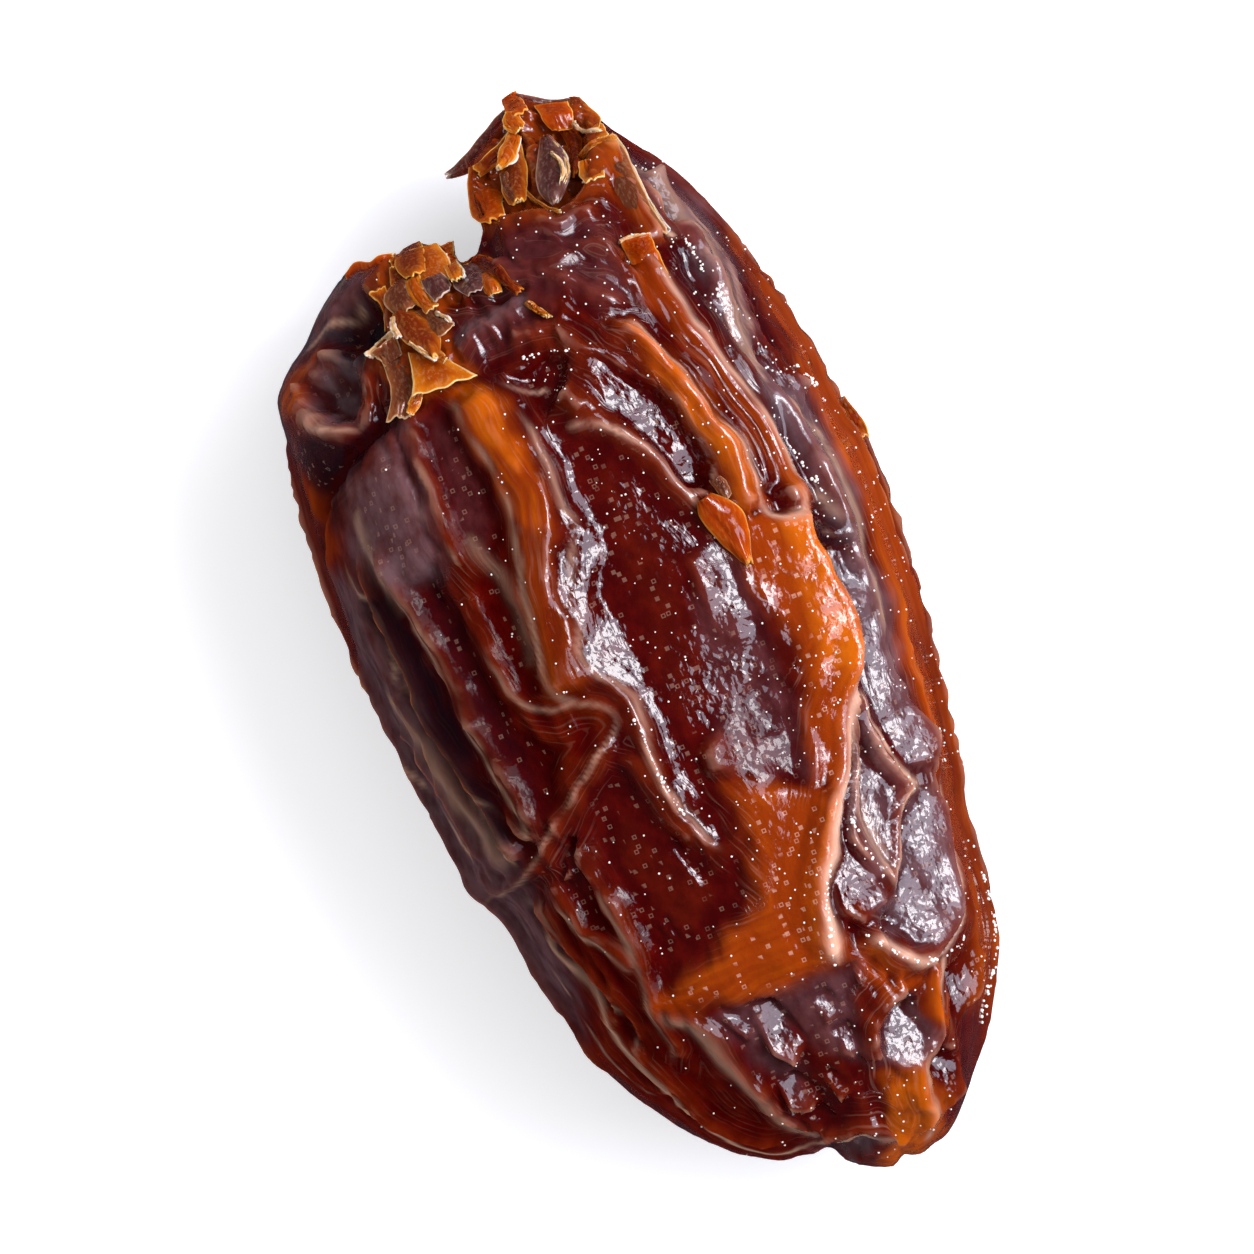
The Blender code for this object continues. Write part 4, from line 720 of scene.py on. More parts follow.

# Threads and bands of colour along the crests, where the skin is stretched, dry or bloomed. Some
# are painted light: the bright line along the torn strip's east edge is a painted highlight, the
# pale of crest K is partly painted highlight, and the mauve band over the wave is partly painted
# sheen.
Crest = namedtuple("Crest", "tint strength width route")
CRESTS = (
    Crest("taupe", 0.7, 0.22,
          ((-4.1, 13.4), (-3.8, 12.0), (-3.4, 10.6), (-3.2, 9.0), (-3.4, 7.0), (-3.8, 5.0),
           (-4.3, 3.0), (-4.6, 1.0), (-4.3, -0.5), (-3.6, -1.0))),
    Crest("pale", 0.5, 0.13,
          ((-2.2, 13.9), (-1.9, 13.2), (-1.5, 12.7), (-0.8, 12.3), (0.2, 12.1))),
    Crest("pale", 0.35, 0.2,
          ((-1.6, 12.0), (-1.1, 10.4), (-1.0, 9.0), (-1.1, 7.5), (-0.9, 6.5), (-1.5, 5.2),
           (-2.1, 3.9), (-2.4, 2.6), (-2.9, 1.2), (-2.6, 0.0), (-1.9, -0.6), (-1.5, -1.4),
           (-1.5, -2.5), (-1.7, -4.0), (-1.6, -5.5), (-1.1, -6.8), (-0.7, -8.0), (-0.3, -9.1))),
    Crest("pale", 0.5, 0.18,
          ((0.2, 10.2), (1.8, 9.9), (2.8, 8.7), (3.5, 7.4), (4.0, 6.0), (4.3, 5.0))),
    Crest("pale", 0.85, 0.22,
          ((4.2, 13.8), (5.1, 12.0), (5.8, 10.0), (6.2, 8.5), (6.8, 7.0), (6.9, 5.0), (7.0, 3.8),
           (7.6, 3.2), (8.4, 3.4), (8.6, 4.6))),
    Crest("pale", 0.5, 0.26,
          ((6.4, 16.4), (6.9, 14.6), (7.1, 12.6), (7.5, 10.8), (8.0, 9.4), (8.3, 7.8), (8.6, 6.0),
           (8.9, 4.6), (9.6, 3.6), (9.9, 1.8))),
    # Painted highlight: a bright line along the east edge of the torn strip
    Crest("pale", 0.9, 0.16,
          ((6.9, 21.7), (7.1, 20.5), (7.15, 19.0), (7.3, 17.5), (7.6, 16.4))),
    Crest("taupe", 0.6, 0.5,
          ((7.4, 20.2), (8.0, 19.0), (8.6, 17.4), (9.0, 15.6), (9.1, 14.0), (9.0, 12.4),
           (9.0, 10.8), (9.3, 9.6))),
    Crest("taupe", 0.8, 0.3,
          ((9.6, 8.8), (10.1, 7.8), (10.6, 6.4), (10.8, 5.0), (10.8, 3.0), (10.7, 1.5),
           (10.3, 0.0), (10.1, -1.5), (9.7, -3.6))),
    Crest("pale", 0.45, 0.45,
          ((6.9, -7.2), (6.3, -8.6), (6.0, -10.2), (6.0, -11.8), (5.8, -13.0))),
    Crest("haze", 0.8, 0.6,
          ((-3.0, 15.4), (-1.8, 15.7), (-0.2, 15.9), (1.0, 16.1))),
    # Crest K: partly the pale colour of its stretched skin and partly a painted highlight along it
    Crest("pale", 1.0, 0.38, ROUTES["pale crest K"]),
    Crest("pale", 0.8, 0.25,
          ((7.7, -4.8), (7.8, -6.0), (8.0, -7.5), (8.3, -9.0), (8.6, -10.0), (7.9, -10.3),
           (7.3, -11.5), (6.6, -12.7), (5.9, -13.8))),
    Crest("pale", 0.7, 0.25,
          ((3.8, -14.6), (4.6, -15.4), (5.1, -16.2), (5.7, -16.9), (6.7, -17.1), (7.6, -16.7),
           (8.4, -16.2), (9.0, -15.4), (9.4, -14.0), (9.8, -12.0), (10.0, -10.0))),
    Crest("taupe", 0.45, 0.15,
          ((-6.7, 3.4), (-6.5, 1.5), (-5.9, 0.0), (-5.0, -0.8), (-4.0, -1.0), (-3.0, -1.3),
           (-2.5, -2.1), (-2.9, -2.7), (-4.0, -3.4), (-5.3, -4.3), (-6.4, -5.3), (-7.3, -6.0),
           (-8.3, -6.8), (-9.2, -7.3), (-10.5, -7.5), (-11.2, -7.2))),
    Crest("taupe", 0.7, 0.2, ROUTES["ridge T"]),
    Crest("taupe", 0.7, 0.22, ROUTES["ridge W"]),
    Crest("taupe", 0.9, 0.24,
          ((-9.4, -7.9), (-9.1, -9.5), (-9.0, -11.0), (-8.3, -12.3), (-7.9, -13.6), (-7.8, -15.0),
           (-7.5, -16.2), (-6.9, -17.4), (-6.4, -18.6), (-5.8, -20.0), (-5.0, -21.2),
           (-3.8, -22.2), (-2.4, -22.6), (-1.0, -22.7), (0.2, -22.8), (1.1, -23.2),
           (1.8, -23.8), (2.6, -24.4))),
    Crest("taupe", 0.55, 0.4, ROUTES["ridge Y"]),
    Crest("pale", 0.5, 0.22, ROUTES["ridge to the blossom end"][:3]),
    Crest("taupe", 0.7, 0.25, ROUTES["ridge to the blossom end"][3:]),
    Crest("taupe", 0.6, 0.1, ROUTES["smile rim of the west dish"]),
    Crest("taupe", 0.6, 0.14, ROUTES["ridge a"]),
    Crest("taupe", 0.8, 0.2, ROUTES["ridge b"]),
    Crest("taupe", 0.9, 0.22, ROUTES["ridge c"]),
    Crest("taupe", 0.3, 0.4,
          ((-5.6, 7.6), (-5.2, 6.4), (-4.6, 5.0), (-4.8, 3.0), (-5.2, 1.0))),
    Crest("taupe", 0.45, 0.5,
          ((-10.4, 17.5), (-9.0, 18.5), (-7.6, 19.4), (-6.2, 20.2))),
    Crest("taupe", 0.8, 0.2,
          ((-9.4, 17.7), (-8.2, 18.3), (-7.0, 18.9), (-6.2, 19.3))),
    Crest("taupe", 0.45, 0.7,
          ((-11.9, 3.0), (-11.4, 1.0), (-10.9, -1.2), (-10.5, -3.2), (-10.0, -5.2), (-9.4, -6.6))),
    Crest("taupe", 0.8, 0.14,
          ((-12.2, 1.0), (-11.8, -0.8), (-11.4, -2.6), (-11.2, -4.4), (-10.9, -6.0))),
    Crest("taupe", 0.8, 0.14,
          ((-11.3, 8.4), (-11.0, 6.4), (-10.95, 4.4), (-11.3, 2.8), (-11.9, 2.2))),
    Crest("taupe", 0.8, 0.15, ROUTES["ridge e"]),
    Crest("taupe", 0.6, 0.13,
          ((-9.2, 7.4), (-8.6, 5.0), (-8.45, 2.6), (-8.4, 0.4), (-8.1, -1.6), (-8.4, -3.2))),
    Crest("taupe", 0.5, 0.6,
          ((-9.9, 10.8), (-9.8, 9.0), (-9.5, 7.2), (-9.1, 5.4))),
    Crest("taupe", 0.5, 0.14, ROUTES["ridge h"]),
    Crest("taupe", 0.5, 0.14,
          ((-9.9, -10.0), (-9.5, -12.4), (-9.0, -14.6), (-8.3, -16.6), (-7.2, -18.4))),
    Crest("pale", 0.3, 0.25,
          ((8.2, 19.2), (9.0, 17.2), (9.5, 15.4), (9.6, 13.4), (9.4, 11.4))),
    Crest("pale", 0.35, 0.16,
          ((8.4, 15.8), (8.7, 14.0), (8.7, 12.2), (8.8, 10.6), (9.2, 9.0))),
)

# Rows of sugar beads along the crests. Their white is partly real sugar and partly stands in for
# the beaded glints along these crests, a painted highlight.
BEAD_ROWS = (
    ((-1.9, -1.4), (-1.7, -3.2), (-1.65, -5.2), (-1.3, -7.0)),
    ((4.1, -10.8), (3.4, -12.0), (2.8, -13.4), (2.3, -15.5)),
    ((4.0, -14.8), (4.8, -15.8), (5.6, -16.7), (7.0, -17.0), (8.4, -16.4)),
    ((9.8, -12.6), (9.7, -15.6), (9.1, -17.8), (8.2, -19.2), (7.2, -20.6)),
    ((-0.6, 13.8), (0.4, 13.7), (1.6, 13.4)),
    ((8.7, 6.8), (9.0, 5.6), (9.3, 4.4), (9.6, 3.4)),
    ((9.2, 9.6), (9.8, 9.1), (10.5, 9.2), (10.9, 8.4), (11.2, 7.0)),
    ((5.3, -9.8), (5.4, -11.2), (5.7, -12.8)),
    ((8.1, 16.0), (8.4, 14.0), (8.7, 12.0)),
)
BEAD_PITCH = 0.17
BEAD_STEPS = 400
BEAD_SPREAD = 0.05
BEAD_RADII = (0.03, 0.10)

# Grains of sugar fall on a field about the middle, and more stay to the east than to the west. They
# are partly real sugar and partly stand in for small glints on the glossy skin, painted highlights
# that lie thicker towards the light in the east.
GRAIN_FIELD = (12.3, 24.8)
GRAIN_RADII = (0.025, 0.06)
GRAIN_SHARE = 0.45
GRAIN_SHARE_RISE = 0.05

# Folds of the sides and the underside follow a rule. Their angles in degrees go down from the east
# and round to the west.
SIDE_FOLDS = 30
SIDE_FOLD_POINTS = 40
SIDE_FOLD_FIRST = 6
SIDE_FOLD_SPAN = 192
SIDE_FOLD_HEIGHT = 0.75
SIDE_FOLD_WIDTH = 0.55
SIDE_FOLD_SHARPNESS = 1.5
SIDE_FOLD_WANDER = 11.0

# A fold or crest is felt as far as this many of its widths, and each end fades over this share
FOLD_REACH = 2.6
FOLD_END = 0.08
CURVE_STEPS = 6

# Fine lines follow a fold as far as this many mm
LINES_REACH = 2.6

# The height above the foot over which all relief fades in, and how much of the fine relief is lost
# at the outline
FOOT_FADE = 2.2
OUTLINE_CALM = 0.65

# Noise in the skin: how high it stands, and the size of its features along X, Y and Z
LUMP_HEIGHT, LUMP_SIZE = 0.18, (4, 6, 4)
WRINKLE_HEIGHT, WRINKLE_SIZE = 0.24, (0.9, 3.6, 0.9)
PUCKER_HEIGHT, LOOSE_PUCKER_HEIGHT, PUCKER_SIZE = 0.02, 0.05, (0.42, 1.5, 0.42)
TEAR_HEIGHT, TEAR_SIZE = 0.4, (0.9, 1.4, 0.9)
SHRED_HEIGHT, SHRED_SIZE = 0.1, (0.35, 0.6, 0.35)
TEAR_SINK = 0.3

# The skin's widest points are drawn to the outline in slots round the fruit, evened out over a
# number of slots on each side, from this share of the way to the outline on
HUG_SLOTS = 240
HUG_EVENED = 3
HUG_START = 0.55

# How strongly the mesh is crowded toward the top of the fruit and toward the middle of its length
CROWDED_UP = 0.42
CROWDED_IN = 0.13

# Rounds of evening after which the skin counts as flat near by and farther off
CREASE_ROUNDS = (6, 60)

TINTS = ("amber", "gold", "flesh", "violet", "haze", "pale", "taupe", "dull")

# Random slopes for the noise, and numbers that spread its cells over them
NOISE_SLOPES = np.random.default_rng(8).normal(size=(1009, 3))
NOISE_SLOPES /= np.linalg.norm(NOISE_SLOPES, axis=1)[:, None]
NOISE_PRIMES = np.array([7919, 104729, 1299709])
NOISE_SEED_STEP = 17.3
NOISE_GAIN = 1.6

# Rays look for the skin straight down from over the fruit
RAY_HEIGHT = 0.03
RAY_WAY = Vector((0, 0, -1))


def srgb(code):
    """A hex colour as linear red, green, blue and alpha."""
    values = [int(code[k:k + 2], 16) / 255 for k in (1, 3, 5)]
    return [v / 12.92 if v <= 0.04045 else ((v + 0.055) / 1.055) ** 2.4 for v in values] + [1.0]


def ease(value):
    """A smooth step from 0 to 1, flat outside."""
    value = np.clip(value, 0, 1)
    return value * value * (3 - 2 * value)


def smooth_curve(points, count, closed=False):
    """Points on a Catmull-Rom curve through the given ones."""
    points = np.asarray(points, float)
    if closed:
        padded = np.vstack([points[-1:], points, points[:2]])
    else:
        padded = np.vstack([2 * points[0] - points[1], points, 2 * points[-1] - points[-2]])
    spans = len(padded) - 3
    at = np.linspace(0, spans, count, endpoint=not closed)
    index = np.minimum(at.astype(int), spans - 1)
    t = (at - index)[:, None]
    a, b, c, d = (padded[index + k] for k in range(4))
    return 0.5 * (
        2 * b + (c - a) * t + (2 * a - 5 * b + 4 * c - d) * t**2 + (3 * b - a - 3 * c + d) * t**3
    )


def running_mean(values, reach, ends):
    """The mean of each value and of those within reach of it. Ends go on as np.pad names it."""
    width = 2 * reach + 1
    return np.convolve(np.pad(values, reach, ends), np.ones(width) / width, "valid")


def edge_by_angle():
    """The outline as angles seen from the middle and distances from it, in order."""
    edge = smooth_curve(OUTLINE, 1440, closed=True)
    angle = np.arctan2(edge[:, 1], edge[:, 0])
    order = np.argsort(angle)
    return angle[order], np.hypot(edge[:, 0], edge[:, 1])[order]


EDGE_ANGLES, EDGE_RADII = edge_by_angle()


def outline_radius(angle):
    """How far the outline lies from the middle at an angle."""
    return np.interp(angle, EDGE_ANGLES, EDGE_RADII, period=2 * math.pi)


def skin_height(share, upper):
    """Height of the plain skin at a share of the way from the middle to the outline."""
    arch = (1 - np.minimum(share, 1.0) ** ROUNDNESS) ** (1 / ROUNDNESS)
    top = WAIST_HEIGHT + (HEIGHT - CROWN_ROOM - WAIST_HEIGHT) * arch
    bottom = WAIST_HEIGHT - (WAIST_HEIGHT + FOOT_SINK) * arch
    return np.where(upper, top, bottom)


def height_at(plan):
    """Height of the top of the plain body at points in plan."""
    angle = np.arctan2(plan[:, 1], plan[:, 0])
    return skin_height(np.hypot(plan[:, 0], plan[:, 1]) / outline_radius(angle), True)


def share_out(directions):
    """How far towards the outline each direction from the middle of a sphere lies, from 0 to 1."""
    return np.hypot(directions[:, 0], directions[:, 1]).clip(0, 1) ** (2 / ROUNDNESS)


def plain_body(directions):
    """The unit sphere's points moved to the plain body, before any fold."""
    stretched = directions[:, :2] * (WIDTH / 2, LENGTH / 2)
    angle = np.arctan2(stretched[:, 1], stretched[:, 0])
    share = share_out(directions)
    reach = outline_radius(angle) * share
    height = skin_height(share, directions[:, 2] >= 0)
    return np.column_stack([reach * np.cos(angle), reach * np.sin(angle), height])


def onto_skin(plan, rise):
    """Points of a plan view dropped onto the plain body, so that once raised they are in place."""
    step = 0.05
    plan = np.asarray(plan, float)
    slope_x = (height_at(plan + (step, 0)) - height_at(plan - (step, 0))) / (2 * step)
    slope_y = (height_at(plan + (0, step)) - height_at(plan - (0, step))) / (2 * step)
    lean = np.column_stack([slope_x, slope_y]) / np.sqrt(1 + slope_x**2 + slope_y**2)[:, None]
    base = plan + rise * lean
    return np.column_stack([base, height_at(base)])


def noise_at(points, size, seed=0):
    """Smooth noise of about -1 to 1, with features of a given size in mm along X, Y and Z."""
    scaled = points / np.asarray(size, float) + NOISE_SEED_STEP * seed
    cell = np.floor(scaled).astype(np.int64)
    part = scaled - cell
    blend = part**3 * (part * (part * 6 - 15) + 10)
    total = np.zeros(len(points))
    for corner in itertools.product((0, 1), repeat=3):
        key = ((cell + corner) * NOISE_PRIMES).sum(1) % len(NOISE_SLOPES)
        weight = np.where(corner, blend, 1 - blend).prod(1)
        total += weight * (NOISE_SLOPES[key] * (part - corner)).sum(1)
    return NOISE_GAIN * total


def ridged_noise(points, size, seed):
    """Creased noise of about 0 to 1, with sharp crests."""
    return 1 - 2 * np.abs(noise_at(points, size, seed))


def wobble(points, size, amount, seed):
    """The points shaken by smooth noise, so that what is laid on them looks grown."""
    shift = [noise_at(points, (size,) * 3, seed + k) for k in range(3)]
    return points + amount * np.column_stack(shift)


def along_route(points, normals, route, reach):
    """Which points a route passes near, their distance from it, whether they lie on its first
    side, how far along it they are, and how far to its side."""
    near = np.all((points > route.min(0) - reach) & (points < route.max(0) + reach), axis=1)
    index = np.nonzero(near)[0]
    start, step = route[:-1], np.diff(route, axis=0)
    apart = points[index, None] - start
    share = ((apart * step).sum(2) / (step * step).sum(1)).clip(0, 1)
    away = apart - share[..., None] * step
    distance = np.linalg.norm(away, axis=2)
    best = distance.argmin(1)
    rows = np.arange(len(index))
    turn = np.cross(step[best], away[rows, best])
    first = (turn * normals[index]).sum(1) > 0
    along = (best + share[rows, best]) / len(step)
    aside = np.linalg.norm(turn, axis=1) / np.linalg.norm(step[best], axis=1)
    return index, distance[rows, best], first, along, aside


def tapered(along):
    """1 along a route, fading to 0 at both ends."""
    return ease(along / FOLD_END) * ease((1 - along) / FOLD_END)


def fold_relief(points, normals, folds):
    """How far each point rises with the folds. Ridges that meet don't add up."""
    rise, fall = np.zeros(len(points)), np.zeros(len(points))
    for height, first_width, second_width, sharp, route in folds:
        reach = FOLD_REACH * max(first_width, second_width)
        index, distance, first, along, _ = along_route(points, normals, route, reach)
        width = np.where(first, first_width, second_width)
        amount = height * tapered(along) * np.exp(-((distance / width) ** sharp))
        if height > 0:
            rise[index] = np.maximum(rise[index], amount)
        else:
            fall[index] = np.minimum(fall[index], amount)
    return rise + fall


def beside_folds(points, normals, folds):
    """How far each point lies to the side of the nearest fold, in mm, as far as lines are drawn."""
    nearest = np.full(len(points), LINES_REACH)
    beside = nearest.copy()
    for *_, route in folds:
        index, distance, _, _, aside = along_route(points, normals, route, LINES_REACH)
        nearer = distance < nearest[index]
        nearest[index[nearer]] = distance[nearer]
        beside[index[nearer]] = aside[nearer]
    return beside


def depth_inside(points, outline):
    """How far each point in plan lies inside an outline, negative outside."""
    start = np.asarray(outline, float)
    depth = np.full(len(points), -np.inf)
    all_plan = points[:, :2]
    near = np.all((all_plan > start.min(0) - 1) & (all_plan < start.max(0) + 1), axis=1)
    step = np.roll(start, -1, axis=0) - start
    apart = all_plan[near, None] - start
    share = ((apart * step).sum(2) / (step * step).sum(1)).clip(0, 1)
    distance = np.linalg.norm(apart - share[..., None] * step, axis=2).min(1)
    crosses = (apart[..., 1] >= 0) != (apart[..., 1] >= step[..., 1])
    rise = np.where(step[..., 1] == 0, 1e-9, step[..., 1])
    reach = apart[..., 0] - apart[..., 1] * step[..., 0] / rise
    inside = (crosses & (reach < 0)).sum(1) % 2 == 1
    depth[near] = np.where(inside, distance, -distance)
    return depth


def upper_half(points):
    """1 over the top of the fruit, fading to 0 below its waist."""
    return ease((points[:, 2] - WAIST_HEIGHT + 3) / 4)


def sunk_cover(points, sunken):
    """How far each point lies in a pane or a facet, from 0 to 1."""
    return ease(0.3 + depth_inside(points, sunken.outline) / sunken.wall) * upper_half(points)


def pane_relief(points):
    """How far each point rises with the panes, and how far it lies in one, from 0 to 1."""
    relief, sunk = np.zeros(len(points)), np.zeros(len(points))
    for pane in PANES:
        cover = sunk_cover(points, pane)
        relief -= pane.depth * cover
        sunk = np.maximum(sunk, cover)
    return relief, sunk


def facet_relief(points, relief, sunk):
    """The relief with the facets cut into it, and how far each point lies in a pane or facet."""
    for facet in FACETS:
        cover = sunk_cover(points, facet)
        middle = np.mean(facet.outline, axis=0)
        level = height_at(middle[None])[0] - facet.depth + (points[:, :2] - middle) @ facet.slope
        relief = relief * (1 - cover) + cover * (level - points[:, 2])
        sunk = np.maximum(sunk, cover)
    return relief, sunk


def side_folds():
    """Wavy lengthwise folds round the sides and the underside. The sines make them uneven."""
    folds = []
    for k in range(SIDE_FOLDS):
        turn = SIDE_FOLD_SPAN * (k + 0.3 * math.sin(5.1 * k)) / (SIDE_FOLDS - 1)
        start, end = -0.93 + 0.21 * (k % 4), 0.9 - 0.17 * (k % 5)
        along = np.linspace(start, end, SIDE_FOLD_POINTS)
        row = np.ones(SIDE_FOLD_POINTS)
        place = np.column_stack([2.1 * along, 0.61 * k * row, 3.0 * row])
        angle = math.radians(SIDE_FOLD_FIRST - turn)
        angle = angle + np.radians(SIDE_FOLD_WANDER * noise_at(place, 1, 1))
        ring = np.sqrt(1 - along**2)
        directions = np.column_stack([ring * np.cos(angle), along, ring * np.sin(angle)])
        height = SIDE_FOLD_HEIGHT * (0.65 + 0.35 * math.sin(2.4 * k))
        width = SIDE_FOLD_WIDTH * (1 + 0.4 * math.sin(3.7 * k))
        folds.append((height, width, 0.7 * width, SIDE_FOLD_SHARPNESS, plain_body(directions)))
    return folds


def fine_relief(points, sunk):
    """Lumps, lengthwise wrinkles and fine puckers, which no two dates share. Panes are smooth."""
    lumps = LUMP_HEIGHT * noise_at(points, LUMP_SIZE, 1)
    shaken = wobble(points, 2.5, 0.6, 10)
    loose = (1 - sunk) * ease(0.6 + noise_at(points, LUMP_SIZE, 5))
    wrinkles = WRINKLE_HEIGHT * loose * ridged_noise(shaken, WRINKLE_SIZE, 2)
    pucker_height = PUCKER_HEIGHT + LOOSE_PUCKER_HEIGHT * loose
    return lumps + wrinkles + pucker_height * ridged_noise(shaken, PUCKER_SIZE, 3)


def tear_relief(points, flesh):
    """Ragged flesh where the skin is torn away."""
    coarse = TEAR_HEIGHT * ridged_noise(wobble(points, 1.2, 0.6, 20), TEAR_SIZE, 4)
    shreds = SHRED_HEIGHT * ridged_noise(points, SHRED_SIZE, 6)
    return flesh * (coarse + shreds - TEAR_SINK)


def stain_covers(points):
    """Each stain's tint with how strongly it covers each point. Edges are ragged and, on the
    flanks, soft and wandering."""
    ragged_top = points[:, 2] + 1.5 * noise_at(points, (3, 3, 1.5), 31)
    upper = ease((ragged_top - WAIST_HEIGHT + 1) / 3.5)
    flank = ease((WAIST_HEIGHT + 3 - points[:, 2]) / 3)
    ragged = 0.3 * noise_at(points, (0.8, 1.6, 0.8), 30)
    ragged += 1.6 * flank * noise_at(points, (1.6, 2.4, 1.6), 32)
    for stain in STAINS:
        depth = depth_inside(points, stain.outline) + ragged
        cover = stain.strength * upper * ease(0.5 + depth / (2 * stain.softness + 2 * flank))
        yield stain.tint, cover


def tint_masks(points, normals):
    """How strongly each tint covers each point."""
    masks = {tint: np.zeros(len(points)) for tint in TINTS}
    for tint, cover in stain_covers(points):
        masks[tint] = np.maximum(masks[tint], cover)
    for crest in CRESTS:
        route = smooth_curve(onto_skin(crest.route, 0), CURVE_STEPS * len(crest.route))
        reach = FOLD_REACH * crest.width
        index, distance, _, along, _ = along_route(points, normals, route, reach)
        fading = np.exp(-((distance / (0.7 * crest.width)) ** 2))
        cover = crest.strength * tapered(along) * fading
        masks[crest.tint][index] = np.maximum(masks[crest.tint][index], cover)
    return masks


def evened(values, edges, rounds):
    """The values of each vertex drawn toward those of its neighbours, some number of times."""
    first, second = edges.T
    counts = np.bincount(edges.ravel(), minlength=len(values))
    for _ in range(rounds):
        columns = [
            np.bincount(first, column[second], len(values))
            + np.bincount(second, column[first], len(values))
            for column in values.T
        ]
        values = (values + np.column_stack(columns) / counts[:, None]) / 2
    return values


def crease_levels(bm, points, normals):
    """How far each point stands out from the skin about it, near by and farther off, in mm."""
    edges = np.array([[v.index for v in edge.verts] for edge in bm.edges])
    smooth = points
    levels = []
    for rounds in CREASE_ROUNDS:
        smooth = evened(smooth, edges, rounds)
        level = ((points - smooth) * normals).sum(1, keepdims=True)
        levels.append(evened(level, edges, 2)[:, 0])
    return levels


def hug_outline(points, share):
    """Draws the folded skin's widest points in or out to the outline."""
    angle = np.arctan2(points[:, 1], points[:, 0])
    radius = np.hypot(points[:, 0], points[:, 1])
    slot = ((angle + math.pi) / (2 * math.pi) * HUG_SLOTS).astype(int) % HUG_SLOTS
    widest = np.zeros(HUG_SLOTS)
    np.maximum.at(widest, slot, radius)
    centres = (np.arange(HUG_SLOTS) + 0.5) / HUG_SLOTS * 2 * math.pi - math.pi
    ratio = running_mean(outline_radius(centres) / widest, HUG_EVENED, "wrap")
    pull = np.interp(angle, centres, ratio, period=2 * math.pi)
    scale = 1 + (pull - 1) * ease((share - HUG_START) / (1 - HUG_START))
    points[:, :2] *= scale[:, None]
    return points


def open_stem_end(points):
    """Pushes in the hollow that the stem came out of and cuts back the torn edge."""
    inside = ease(0.25 + depth_inside(points, HOLLOW_OUTLINE) / 0.9)
    depth = HOLLOW_DEPTH * inside * upper_half(points)
    points = points + depth[:, None] * np.array(HOLLOW_WAY)
    edge = np.array(TORN_EDGE)
    ragged = 0.2 * noise_at(points, (0.6, 0.6, 3.0), 40)
    limit = np.interp(points[:, 0], edge[:, 0], edge[:, 1]) + ragged - 0.1
    over = (points[:, 1] - limit) / TEAR_SOFTNESS
    points[:, 1] -= TEAR_SOFTNESS * np.logaddexp(0, over)
    return points


def into_box(points):
    """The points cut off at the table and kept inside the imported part's box."""
    points[:, 2] = np.maximum(points[:, 2], 0.0)
    low, high = points.min(0), points.max(0)
    room_low, room_high = np.array(LOW), np.array(HIGH)
    scale = np.minimum(1, (room_high - room_low) / (high - low))
    middle = (low + high) / 2
    points = (points - middle) * scale + middle
    up, down = np.maximum(room_low - points.min(0), 0), np.minimum(room_high - points.max(0), 0)
    return points + up + down


def read_points(bm):
    """Where a mesh's vertices are, as an array."""
    return np.array([v.co for v in bm.verts], float)


def write_points(bm, points):
    """Moves a mesh's vertices to points."""
    for vertex, point in zip(bm.verts, points):
        vertex.co = point


def crowded(directions):
    """Slides the unit sphere's points so that the mesh is finest on the top of the fruit."""
    along = np.arccos(directions[:, 1].clip(-1, 1))
    along += CROWDED_IN * np.sin(2 * along)
    angle = np.arctan2(directions[:, 2], directions[:, 0])
    angle += CROWDED_UP * np.cos(angle)
    ring = np.sin(along)
    return np.column_stack([ring * np.cos(angle), np.cos(along), ring * np.sin(angle)])


def crowded_sphere(segments, rings):
    """A sphere with its poles at the two ends of the fruit, and its points once crowded."""
    bm = bmesh.new()
    bmesh.ops.create_uvsphere(
        bm, u_segments=segments, v_segments=rings, radius=1.0,
        matrix=Matrix.Rotation(math.radians(-90), 4, "X"),
    )
    bmesh.ops.subdivide_edges(bm, edges=bm.edges, cuts=1, use_grid_fill=True)
    directions = read_points(bm)
    return bm, crowded(directions / np.linalg.norm(directions, axis=1)[:, None])


def placed_folds():
    """All the folds, with their routes dropped onto the plain body."""
    folds = []
    for fold in FOLDS:
        route = smooth_curve(onto_skin(fold.route, fold.height), CURVE_STEPS * len(fold.route))
        folds.append((fold.height, fold.first, fold.second, fold.sharp, route))
    return folds + side_folds()


def skin_relief(plain, shaken, normals, share, folds, flesh):
    """How far each point rises from the plain body, and how far it lies in a pane or facet."""
    relief = fold_relief(shaken, normals, folds)
    panes, sunk = pane_relief(shaken)
    relief, sunk = facet_relief(shaken, relief + panes, sunk)
    relief += fine_relief(plain, sunk) * (1 - OUTLINE_CALM * ease((share - 0.93) / 0.05))
    relief += tear_relief(plain, flesh)
    relief *= ease((plain[:, 2] + FOOT_SINK) / FOOT_FADE)
    return relief, sunk


def store_masks(bm, masks):
    """Writes each mask to the mesh under its name, where the material reads it."""
    for name, values in masks.items():
        layer = bm.verts.layers.float.new(name)
        for vertex, value in zip(bm.verts, values):
            vertex[layer] = value


